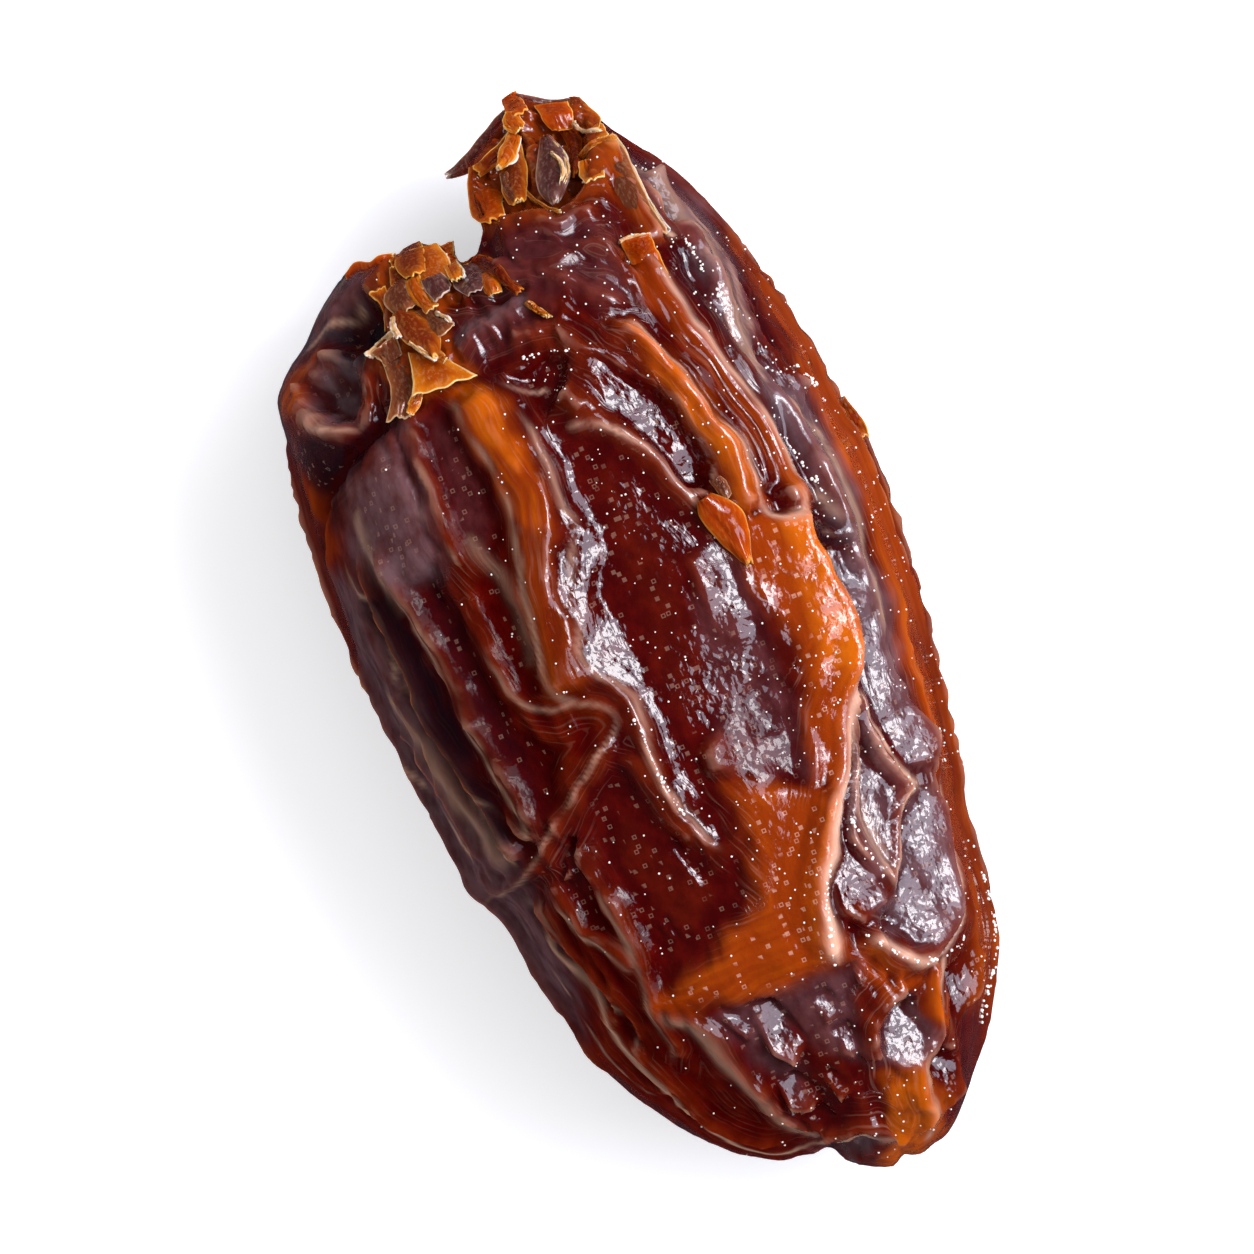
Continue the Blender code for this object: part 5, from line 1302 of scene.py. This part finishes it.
def skin_mesh(segments, rings):
    """The whole skin, with a mask for each tint and each kind of relief."""
    bm, directions = crowded_sphere(segments, rings)
    plain = plain_body(directions)
    write_points(bm, plain)
    bm.normal_update()
    normals = np.array([v.normal for v in bm.verts], float)
    shaken = wobble(wobble(plain, 1.3, 0.16, 50), 4.0, 0.25, 60)
    share = share_out(directions)
    masks = tint_masks(shaken, normals)
    folds = placed_folds()
    relief, sunk = skin_relief(plain, shaken, normals, share, folds, masks["flesh"])
    points = hug_outline(plain + relief[:, None] * normals, share)
    masks["near_crease"], masks["far_crease"] = crease_levels(bm, points, normals)
    masks["sunk"] = sunk
    masks["flank"] = ease((0.6 - normals[:, 2]) / 0.35)
    masks["beside"] = beside_folds(shaken, normals, folds)
    write_points(bm, into_box(open_stem_end(points)) * MM)
    store_masks(bm, masks)
    bmesh.ops.recalc_face_normals(bm, faces=bm.faces)
    return bm


def skin_below(tree, x, y):
    """Where the skin lies straight below a place in plan, in metres, or None beside it."""
    return tree.ray_cast(Vector((x * MM, y * MM, RAY_HEIGHT)), RAY_WAY)[0]


def skin_under(tree, plan):
    """Heights of the finished skin under points in plan, in mm."""
    hits = [skin_below(tree, x, y) for x, y in plan]
    heights = np.array([np.nan if hit is None else hit.z / MM for hit in hits])
    known = ~np.isnan(heights)
    rows = np.arange(len(heights))
    return np.interp(rows, rows[known], heights[known]) if known.any() else WAIST_HEIGHT + 0 * rows


def scrap_points(tree, scrap, seed, across, along):
    """The points of a crinkled scrap with ragged ends, for places across and along it."""
    rails = [smooth_curve(rail, RAIL_POINTS) for rail in (scrap.left, scrap.right)]
    mean_height = np.mean([skin_under(tree, rail) for rail in rails], axis=0)
    mean_height = running_mean(mean_height, RAIL_EVENED, "edge")
    ragged = 0.9 * noise_at(np.column_stack([across * 5, across * 0, across * 0]), 1, seed)
    reach = (along * (1 + 0.1 * ragged * along)).clip(0, 1.1) * (RAIL_POINTS - 1)
    low = reach.astype(int).clip(0, RAIL_POINTS - 2)
    part = reach - low
    left, right = (rail[low] + (rail[low + 1] - rail[low]) * part[:, None] for rail in rails)
    plan = left + (right - left) * across[:, None]
    arch = np.sin(math.pi * across)
    points = np.column_stack([plan, np.interp(reach, np.arange(RAIL_POINTS), mean_height)])
    points[:, 2] += scrap.start + (scrap.end - scrap.start) * along + scrap.bulge * arch
    ridges = np.column_stack([across * 3, along * 1.2, along * 0])
    points[:, 2] += SCRAP_CRINKLE * ridged_noise(ridges, 0.5, seed)
    crinkles = [noise_at(points, 0.9, seed + k) for k in (1, 2, 3)]
    return points + SCRAP_CRINKLE * np.column_stack(crinkles)


def add_scrap(bm, tree, scrap, seed, border):
    """One scrap as a thin sheet, which knows how near its edge is."""
    made = bmesh.ops.create_grid(
        bm, x_segments=SCRAP_GRID[0], y_segments=SCRAP_GRID[1], size=1.0)["verts"]
    across, along = (np.array([(v.co[k] + 1) / 2 for v in made]) for k in (0, 1))
    points = scrap_points(tree, scrap, seed, across, along)
    inner = 1 - 2 * np.abs(across - 0.5)
    near = np.minimum(inner, 2.5 * (1 - along))
    for vertex, point, value in zip(made, points, near):
        vertex.co = point
        vertex[border] = 1 - value
    faces = list(dict.fromkeys(face for vertex in made for face in vertex.link_faces))
    bmesh.ops.recalc_face_normals(bm, faces=faces)
    bmesh.ops.solidify(bm, geom=faces, thickness=SCRAP_THICKNESS)


def scraps_mesh(tree, look):
    """All the scraps of one look, with how near each point is to a scrap's edge."""
    bm = bmesh.new()
    border = bm.verts.layers.float.new("border")
    for seed, scrap in enumerate(SCRAPS):
        if scrap.look == look:
            add_scrap(bm, tree, scrap, 100 + seed, border)
    low, high = np.array(LOW) + SCRAP_MARGIN, np.array(HIGH) - SCRAP_MARGIN
    write_points(bm, read_points(bm).clip(low, high) * MM)
    bmesh.ops.recalc_face_normals(bm, faces=bm.faces)
    return bm


def finished_object(bm, name, material):
    """The object made from a mesh, smooth, with its material."""
    mesh = bpy.data.meshes.new(name)
    bm.to_mesh(mesh)
    bm.free()
    mesh.shade_smooth()
    mesh.materials.append(material)
    piece = bpy.data.objects.new(name, mesh)
    bpy.context.scene.collection.objects.link(piece)
    return piece


def add(tree, kind, *inputs, **settings):
    """Adds a shader node. Its inputs are values, sockets or nodes, which stand for their first
    output in use: in the order in which the node shows them, or in one dict by name."""
    node = tree.nodes.new("ShaderNode" + kind)
    for name, value in settings.items():
        setattr(node, name, value)
    if inputs and isinstance(inputs[0], dict):
        pairs = [(node.inputs[name], value) for name, value in inputs[0].items()]
    else:
        pairs = zip([socket for socket in node.inputs if socket.enabled], inputs)
    for socket, value in pairs:
        if isinstance(value, bpy.types.Node):
            value = next(output for output in value.outputs if output.enabled)
        if isinstance(value, bpy.types.NodeSocket):
            tree.links.new(value, socket)
        else:
            socket.default_value = value
    return node


# Settings of nodes that mix colours and that multiply
RGBA = {"data_type": "RGBA"}
TIMES = {"operation": "MULTIPLY"}


def new_material(name):
    """An empty material, its node tree, and what adds a node to that tree."""
    material = bpy.data.materials.new(name)
    material.use_nodes = True
    material.node_tree.nodes.clear()
    return material, partial(add, material.node_tree)


def laid_over(node, colour, layers):
    """A colour with others laid over it in order, each as far as its cover says."""
    for cover, over in layers:
        colour = node("Mix", cover, colour, over, **RGBA)
    return colour


def stacked_bumps(node, layers):
    """Bumps laid on each other, each with its pattern, its height in mm and its strength."""
    below = {}
    for pattern, height, strength in layers:
        relief = {"Height": pattern, "Distance": height * MM, "Strength": strength}
        below = {"Normal": node("Bump", {**relief, **below})}
    return below["Normal"]


def stretched_noise(node, place, size, stretch, detail):
    """Noise with features of a size in mm, drawn out along Y by a factor."""
    mapped = node("Mapping", {"Vector": place, "Scale": (1.0, 1 / stretch, 1.0)})
    return node("TexNoise", {"Vector": mapped, "Scale": 1 / (size * MM), "Detail": detail})


def lines_beside(node, place, beside, size, detail):
    """Noise drawn out along the nearest fold, in lines of a width in mm."""
    slow = 1 / (18 * size * MM)
    mapped = node("Mapping", {"Vector": place, "Scale": (slow, slow, slow)})
    across = node("CombineXYZ", node("Math", beside, 1 / size, **TIMES))
    both = node("VectorMath", mapped, across, operation="ADD")
    return node("TexNoise", {"Vector": both, "Scale": 1.0, "Detail": detail})


def skin_patterns(node):
    """What the skin's colours and bumps are made from: the masks of the mesh and noises."""
    masks = TINTS + ("near_crease", "far_crease", "sunk", "beside", "flank")
    skin = SimpleNamespace(**{
        mask: node("Attribute", attribute_name=mask).outputs["Fac"] for mask in masks
    })
    place = node("TexCoord").outputs["Object"]
    # Blotches and mottling have their real sizes
    skin.blotches = stretched_noise(node, place, 3.0, 2.2, 1.0)
    skin.mottle = stretched_noise(node, place, 0.7, 1.6, 3.0)
    # Hairlines, grain and sugar are finer in life, and are drawn as coarse as shows from above
    skin.broad = lines_beside(node, place, skin.beside, 0.45, 1.0)
    skin.fine = lines_beside(node, place, skin.beside, 0.11, 1.0)
    skin.grain = stretched_noise(node, place, 0.3, 1.2, 1.0)
    cells = node("TexVoronoi", {"Vector": place, "Scale": 1 / (0.42 * MM)}, distance="CHEBYCHEV")
    skin.from_middle, skin.cell = cells.outputs["Distance"], cells.outputs["Color"]
    # Lines show on loose skin, in patches, and less on the steep flanks
    skin.calm = node("MapRange", skin.flank, 0.0, 0.8, 1.0, 0.25)
    patches = node("MapRange", skin.blotches, 0.4, 0.6, 0.3, 1.0)
    skin.patchy = node("Math", skin.calm, patches, **TIMES)
    loose = node("Math", node("MapRange", skin.sunk, 0.2, 0.9, 1.0, 0.0),
                 node("MapRange", skin.violet, 0.0, 1.0, 1.0, 0.2), **TIMES)
    skin.worn = node("Math", loose, skin.patchy, **TIMES)
    return skin


def plain_colour(node, look, skin):
    """The skin between the folds: deep red, browner where it stands out. The browner raised skin
    and the deep red left in the hollows are partly the skin's own colours and partly painted light
    and shade, darker in the hollows where shade falls.
    """
    raised = node("Math", node("MapRange", skin.far_crease, -0.05, 0.3),
                  node("MapRange", skin.mottle, 0.3, 0.6, 0.5, 1.0), **TIMES)
    return laid_over(node, srgb(look.deep_red), (
        (node("MapRange", skin.mottle, 0.42, 0.72), srgb(look.skin_red)),
        (raised, srgb(look.skin_brown)),
    ))


def glowing_colour(node, look, skin, colour):
    """Amber and gold over a colour where the flesh glows through. The gold on the raised parts of
    the amber is partly the flesh's own colour and partly painted light.
    """
    high = node("Math", node("MapRange", skin.far_crease, 0.0, 0.5),
                node("MapRange", skin.broad, 0.35, 0.6), **TIMES)
    amber = node("Math", skin.amber, node("MapRange", skin.broad, 0.25, 0.5, 0.7, 1.0), **TIMES)
    gold = node("Math", skin.gold, node("MapRange", skin.mottle, 0.3, 0.6, 0.3, 1.0), **TIMES)
    return laid_over(node, colour, (
        (amber, laid_over(node, srgb(look.amber), ((high, srgb(look.gold)),))),
        (gold, srgb(look.gold)),
    ))


def stained_colour(node, look, skin, colour):
    """Near-black troughs, grey-mauve and pale crests over a colour. The near-black is painted shade
    in the troughs, the grey-mauve partly the skin's dusty coat and partly painted sheen, and the
    pale partly painted highlight on some crests.
    """
    bloom_sheen = node("Math", skin.haze, node("MapRange", skin.mottle, 0.3, 0.6, 0.25, 0.75), **TIMES)
    return laid_over(node, colour, (
        (skin.violet, srgb(look.violet)),
        (bloom_sheen, srgb(look.bloom_sheen)),
        (node("Math", skin.taupe, 0.95, **TIMES), srgb(look.taupe)),
        (node("Math", skin.pale, 0.9, **TIMES), srgb(look.pale)),
    ))


def lined_colour(node, look, skin, colour):
    """Fine lines over a colour, pale on the crests and dark in the creases. The dark in the creases
    of the lines and of the skin is painted shade; the pale on the crests is partly the stretched
    skin's own colour and partly painted light.
    """
    crest = laid_over(node, srgb(look.pale), ((skin.dull, srgb(look.taupe)),))
    # Paler on the fine lines' raised parts and darker in their grooves: painted light and shade on
    # the fine bumps
    faint = node("Math", skin.worn, node("MapRange", skin.fine, 0.56, 0.70, 0.0, 0.08), **TIMES)
    dark = node("Math", skin.worn, node("MapRange", skin.fine, 0.44, 0.32, 0.0, 0.18), **TIMES)
    firm = node("Math", node("MapRange", skin.dull, 0.0, 1.0, 0.3, 0.4),
                node("MapRange", skin.violet, 0.0, 1.0, 1.0, 0.25), **TIMES)
    firm = node("Math", firm, node("MapRange", skin.haze, 0.2, 0.9, 1.0, 0.4), **TIMES)
    return laid_over(node, colour, (
        (faint, crest),
        (dark, srgb(look.deep_red)),
        # Painted light and shade: paler where the skin stands out, deep red where it sinks into a
        # crease
        (node("Math", firm, node("MapRange", skin.near_crease, 0.06, 0.2), **TIMES), crest),
        (node("MapRange", skin.near_crease, -0.02, -0.1, 0.0, 0.8), srgb(look.deep_red)),
    ))


def sugared_colour(node, look, skin, colour):
    """Sugar under the tight skin of the panes, seen as small pale square rings over a colour."""
    ring = node("MapRange", skin.from_middle, 0.10, 0.15)
    for part in (
        node("MapRange", skin.from_middle, 0.25, 0.20),
        node("MapRange", skin.cell, 0.46, 0.50),
        node("MapRange", skin.amber, 0.0, 1.0, 0.12, 0.35),
        node("MapRange", skin.sunk, 0.4, 1.0),
    ):
        ring = node("Math", ring, part, **TIMES)
    return laid_over(node, colour, ((ring, srgb(look.pale)),))


def torn_colour(node, look, skin, colour):
    """Bare flesh over a colour where the skin is torn away. Its gold on the raised edges is partly
    the thin flesh's own colour and partly painted highlight.
    """
    torn = laid_over(node, srgb(look.torn_brown), (
        (node("MapRange", skin.grain, 0.4, 0.65), srgb(look.amber)),
        (node("MapRange", skin.near_crease, 0.06, 0.25), srgb(look.torn_gold)),
    ))
    return laid_over(node, colour, ((skin.flesh, torn),))


def skin_bumps(node, skin):
    """Lines along the folds, grain and sugar, which lie flatter in the glassy panes."""
    lines = node("Math", node("MapRange", skin.sunk, 0, 1, 0.7, 0.15), skin.calm, **TIMES)
    hairs = node("Math", node("MapRange", skin.sunk, 0, 1, 0.7, 0.3), skin.patchy, **TIMES)
    return stacked_bumps(node, (
        (skin.broad, 0.10, lines),
        (skin.fine, 0.04, hairs),
        (skin.grain, 0.07, node("Math", skin.calm, 0.3, **TIMES)),
        (skin.from_middle, 0.06, node("Math", skin.sunk, 0.6, **TIMES)),
    ))


def date_skin(look):
    """Dried date skin: thin, tight and glossy with its own sugar, dark red in the hollows, brown
    along the folds and amber where the flesh glows through. The dark of the hollows and creases is
    partly painted shade, the brown and pale of the raised folds partly painted light, and the
    grey-mauve partly painted sheen."""
    material, node = new_material("dried_date_skin")
    skin = skin_patterns(node)
    colour = plain_colour(node, look, skin)
    for lay in (glowing_colour, stained_colour, lined_colour, sugared_colour, torn_colour):
        colour = lay(node, look, skin, colour)
    bumps = skin_bumps(node, skin)
    shader = node("BsdfPrincipled", {
        "Base Color": colour,
        "Roughness": node("MapRange", skin.blotches, 0.3, 0.7, 0.34, 0.48),
        "IOR": 1.46,
        "Specular IOR Level": 0.0,
        "Subsurface Weight": 0.25,
        "Subsurface Radius": (1.0, 0.32, 0.1),
        "Subsurface Scale": 1.2 * MM,
        "Coat Weight": node("MapRange", skin.dull, 0, 1, 1.0, 0.1),
        "Coat Roughness": 0.09,
        "Coat IOR": 1.5,
        "Normal": bumps,
        "Coat Normal": bumps,
    })
    node("OutputMaterial", {"Surface": shader})
    return material


def torn_scrap(name, middle, glow, rim):
    """Torn skin and flesh: moist and see-through, with painted light in its colour, a glow of light
    through the thin flesh towards its edges and a bright painted highlight along them. Its fibres
    are coarser than in life, so that they show."""
    material, node = new_material(name)
    place = node("TexCoord").outputs["Object"]
    border = node("Attribute", attribute_name="border").outputs["Fac"]
    fibres = stretched_noise(node, place, 0.14, 7.0, 2.0)
    blotches = stretched_noise(node, place, 0.9, 1.5, 2.0)
    glowing = node("Math", node("MapRange", border, 0.4, 1.0),
                   node("MapRange", blotches, 0.35, 0.6, 0.45, 1.0), **TIMES)
    colour = laid_over(node, srgb(middle), (
        (glowing, srgb(glow)),
        (node("MapRange", fibres, 0.5, 0.7, 0.0, 0.12), srgb(rim)),
        (node("MapRange", border, 0.9, 0.98, 0.0, 0.8), srgb(rim)),
    ))
    bumps = stacked_bumps(node, ((blotches, 0.2, 0.5), (fibres, 0.03, 0.6)))
    shader = node("BsdfPrincipled", {
        "Base Color": colour,
        "Roughness": 0.35,
        "IOR": 1.46,
        "Specular IOR Level": 0.0,
        "Subsurface Weight": 0.4,
        "Subsurface Radius": (1.0, 0.4, 0.12),
        "Subsurface Scale": 0.8 * MM,
        "Coat Weight": 1.0,
        "Coat Roughness": 0.08,
        "Coat IOR": 1.5,
        "Normal": bumps,
        "Coat Normal": bumps,
    })
    node("OutputMaterial", {"Surface": shader})
    return material


def sugar_and_glints(look):
    """Sugar that has crystallised on the skin: white, glossy and a little see-through. The grains
    also stand in for glints, so their white is partly painted highlight.
    """
    material, node = new_material("crystallised_sugar_and_glints")
    shader = node("BsdfPrincipled", {
        "Base Color": srgb(look.sugar),
        "Roughness": 0.3,
        "IOR": 1.54,
        "Specular IOR Level": 0.5,
        "Subsurface Weight": 0.3,
        "Subsurface Radius": (1.0, 0.8, 0.6),
        "Subsurface Scale": 0.2 * MM,
    })
    node("OutputMaterial", {"Surface": shader})
    return material


def studio_paper(look):
    """Matte white paper on a light table: it sends back nearly all the light and glows a little."""
    material, node = new_material("matte_white_paper")
    shader = node("BsdfPrincipled", {
        "Base Color": srgb(look.floor),
        "Roughness": 0.95,
        "Specular IOR Level": 0.1,
        "Emission Color": srgb(look.floor),
        "Emission Strength": 0.42,
    })
    node("OutputMaterial", {"Surface": shader})
    return material


def hex_colour(name, description, default):
    """A property for a colour as an sRGB hex value."""
    return bpy.props.StringProperty(name=name, description=description, default=default)


class DateLook(bpy.types.PropertyGroup):
    """Colours of the fruit and the floor, as sRGB hex values"""

    # Deep red is the skin's own colour, and is also laid into the creases as painted shade
    deep_red: hex_colour("Deep red", "Skin in the glassy panes", "#3A0101")
    skin_red: hex_colour("Skin red", "Skin in the shallower hollows", "#4E0602")
    # Skin brown over the raised folds is partly their own colour and partly painted light
    skin_brown: hex_colour("Skin brown", "Skin over the folds", "#641C05")
    amber: hex_colour("Amber", "Thin skin with flesh glowing through", "#8A3002")
    # Gold on the raised amber is partly the flesh's colour and partly painted light
    gold: hex_colour("Gold", "Crests of the amber folds", "#C05C06")
    # Torn gold on the raised torn flesh is partly its colour and partly painted highlight
    torn_gold: hex_colour("Torn gold", "Thin edges of bare flesh", "#F2A038")
    torn_brown: hex_colour("Torn brown", "Bare flesh", "#7A2E08")
    # Violet black is painted shade in the troughs and hollows
    violet: hex_colour("Violet black", "Darkest troughs", "#180B12")
    # Grey-mauve is partly the skin's dusty coat and partly painted sheen
    bloom_sheen: hex_colour("Bloom", "Grey-mauve bloom on the skin", "#6C5A5F")
    taupe: hex_colour("Taupe", "Dry crests on the west side", "#A8846E")
    # Pale is partly stretched skin and partly painted highlight on some crests
    pale: hex_colour("Pale crest", "Stretched skin along the east crests", "#EDBBA0")
    # Sugar white also stands in for small glints, partly painted highlight
    sugar: hex_colour("Sugar", "Grains of sugar", "#FFF1E4")
    floor: hex_colour("Floor", "Paper that the fruit lies on", "#FAFAFB")


class DateSize(bpy.types.PropertyGroup):
    """How fine the skin's mesh is, and how much sugar lies on it"""

    segments: bpy.props.IntProperty(
        name="Segments round", description="Half the faces round the long axis", default=150,
        min=12)
    rings: bpy.props.IntProperty(
        name="Rings along", description="Half the faces from the stem end to the blossom end",
        default=165, min=12)
    grains: bpy.props.IntProperty(
        name="Sugar grains", description="How many grains are tried", default=2400, min=0)


class DATE_OT_skin(bpy.types.Operator):
    """Adds the fruit's wrinkled skin"""

    bl_idname = "date.skin"
    bl_label = "Skin"

    def execute(self, context):
        scene = context.scene
        bm = skin_mesh(scene.date_size.segments, scene.date_size.rings)
        piece = finished_object(bm, "date_skin", date_skin(scene.date_look))
        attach(piece, "root")
        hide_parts(NODE)
        return {"FINISHED"}


def skin_tree():
    """The finished skin, ready to be hit by rays."""
    bm = bmesh.new()
    bm.from_mesh(bpy.data.objects["date_skin"].data)
    tree = BVHTree.FromBMesh(bm)
    bm.free()
    return tree


class DATE_OT_scraps(bpy.types.Operator):
    """Adds the torn scraps of skin and flesh, one piece for each look"""

    bl_idname = "date.scraps"
    bl_label = "Torn Scraps"

    def execute(self, context):
        tree = skin_tree()
        for look, (name, middle, glow, rim) in SCRAP_LOOKS.items():
            bm = scraps_mesh(tree, look)
            piece = finished_object(bm, name, torn_scrap(name, middle, glow, rim))
            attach(piece, "root")
        return {"FINISHED"}


def bead_places(draw):
    """Points in plan with a radius for the beads that stand in rows along some crests."""
    for route in BEAD_ROWS:
        length = sum(math.dist(a, b) for a, b in zip(route, route[1:]))
        line = smooth_curve(route, BEAD_STEPS)
        for k in draw.integers(0, BEAD_STEPS, int(length / BEAD_PITCH)):
            x, y = line[k] + draw.normal(0, BEAD_SPREAD, 2)
            yield x, y, draw.uniform(*BEAD_RADII)


def scattered_places(draw, tries):
    """Points in plan with a radius for the grains scattered over the skin."""
    for _ in range(tries):
        x, y = (draw.uniform(-side, side) for side in GRAIN_FIELD)
        if draw.uniform() < GRAIN_SHARE + GRAIN_SHARE_RISE * x:
            yield x, y, draw.uniform(*GRAIN_RADII)


class DATE_OT_sugar(bpy.types.Operator):
    """Adds the fine grains of sugar on the skin, which also stand in for its small glints as
    painted highlights
    """

    bl_idname = "date.sugar"
    bl_label = "Sugar Grains"

    def execute(self, context):
        tree = skin_tree()
        draw = np.random.default_rng(21)
        tries = context.scene.date_size.grains
        bm = bmesh.new()
        for x, y, radius in (*bead_places(draw), *scattered_places(draw, tries)):
            hit = skin_below(tree, x, y)
            if hit is None:
                continue
            place = Matrix.Translation(hit / MM) @ Matrix.Diagonal((radius, radius, radius, 1))
            bmesh.ops.create_icosphere(bm, subdivisions=1, radius=1.0, matrix=place)
        write_points(bm, read_points(bm).clip(np.array(LOW), np.array(HIGH)) * MM)
        piece = finished_object(bm, "sugar_grains_and_glints", sugar_and_glints(context.scene.date_look))
        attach(piece, "root")
        return {"FINISHED"}


def aimed(location, target):
    """A turn that points an object's -Z from its location at a target."""
    return (Vector(target) - Vector(location)).to_track_quat("-Z", "Y").to_euler()


def softbox(name, zenith, azimuth, distance, size, radiance, colour):
    """A rectangular light of a size in metres, aimed at the fruit from angles in degrees. Its
    power follows from its radiance, so that a larger one is no dimmer in a reflection."""
    z, a = math.radians(zenith), math.radians(azimuth)
    way = Vector((math.sin(z) * math.cos(a), math.sin(z) * math.sin(a), math.cos(z)))
    target = Vector((0, 0, WAIST_HEIGHT * MM))
    data = bpy.data.lights.new(name, "AREA")
    data.shape = "RECTANGLE"
    data.size, data.size_y = size
    data.energy = radiance * math.pi * size[0] * size[1]
    data.color = srgb(colour)[:3]
    light = bpy.data.objects.new(name, data)
    light.location = target + way * distance
    light.rotation_euler = aimed(light.location, target)
    bpy.context.scene.collection.objects.link(light)
    return light


def studio_world():
    """A dim room, so that the skin mirrors little but the soft lights."""
    world = bpy.data.worlds.new("studio")
    world.use_nodes = True
    world.node_tree.nodes.clear()
    light = add(world.node_tree, "Background", {"Color": srgb("#34363F"), "Strength": 1.0})
    add(world.node_tree, "OutputWorld", {"Surface": light})
    bpy.context.scene.world = world


def overhead_camera():
    """A long lens high over the fruit, which sees it as the photo does."""
    data = bpy.data.cameras.new("overhead")
    data.lens = LENS
    data.sensor_width = SENSOR
    data.clip_start = 0.01
    camera = bpy.data.objects.new("overhead", data)
    distance = LENS / SENSOR * FIELD
    camera.location = Vector((*LOOK_AT, WAIST_HEIGHT + distance)) * MM
    camera.rotation_euler = (0, 0, math.radians(LEAN_DEGREES))
    bpy.context.scene.collection.objects.link(camera)
    bpy.context.scene.camera = camera


class DATE_OT_stage(bpy.types.Operator):
    """Adds the pale floor, the soft lights and the camera"""

    bl_idname = "date.stage"
    bl_label = "Stage"

    def execute(self, context):
        bm = bmesh.new()
        bmesh.ops.create_grid(bm, x_segments=1, y_segments=1, size=2.0)
        floor = finished_object(bm, "floor", studio_paper(context.scene.date_look))
        floor.visible_glossy = False
        softbox("window", zenith=38, azimuth=0, distance=0.35, size=(0.34, 0.22), radiance=5.8,
                colour="#E6EBFF")
        softbox("lamp", zenith=36, azimuth=4, distance=0.35, size=(0.12, 0.09), radiance=17.0,
                colour="#FFFFFF")
        veil = softbox("veil", zenith=0, azimuth=0, distance=1.0, size=(2.4, 2.4), radiance=0.95,
                       colour="#FFFFFF")
        veil.visible_glossy = False
        studio_world()
        overhead_camera()
        context.scene.view_settings.view_transform = "Standard"
        return {"FINISHED"}


class DATE_PT_panel(bpy.types.Panel):
    """Lists the fruit's pieces and colours"""

    bl_label = "Medjool Date"
    bl_space_type = "VIEW_3D"
    bl_region_type = "UI"
    bl_category = "Date"

    def draw(self, context):
        scene = context.scene
        for group in (scene.date_size, scene.date_look):
            for name in group.bl_rna.properties.keys():
                if name not in ("rna_type", "name"):
                    self.layout.prop(group, name)
        for operator in (DATE_OT_stage, DATE_OT_skin, DATE_OT_scraps, DATE_OT_sugar):
            self.layout.operator(operator.bl_idname)


CLASSES = (
    DateLook, DateSize, DATE_OT_stage, DATE_OT_skin, DATE_OT_scraps, DATE_OT_sugar, DATE_PT_panel,
)


def register():
    for cls in CLASSES:
        bpy.utils.register_class(cls)
    bpy.types.Scene.date_look = bpy.props.PointerProperty(type=DateLook)
    bpy.types.Scene.date_size = bpy.props.PointerProperty(type=DateSize)


def unregister():
    del bpy.types.Scene.date_size
    del bpy.types.Scene.date_look
    for cls in reversed(CLASSES):
        bpy.utils.unregister_class(cls)


def main():
    register()
    bpy.ops.date.stage()
    bpy.ops.date.skin()
    bpy.ops.date.scraps()
    bpy.ops.date.sugar()


if __name__ == "__main__":
    main()
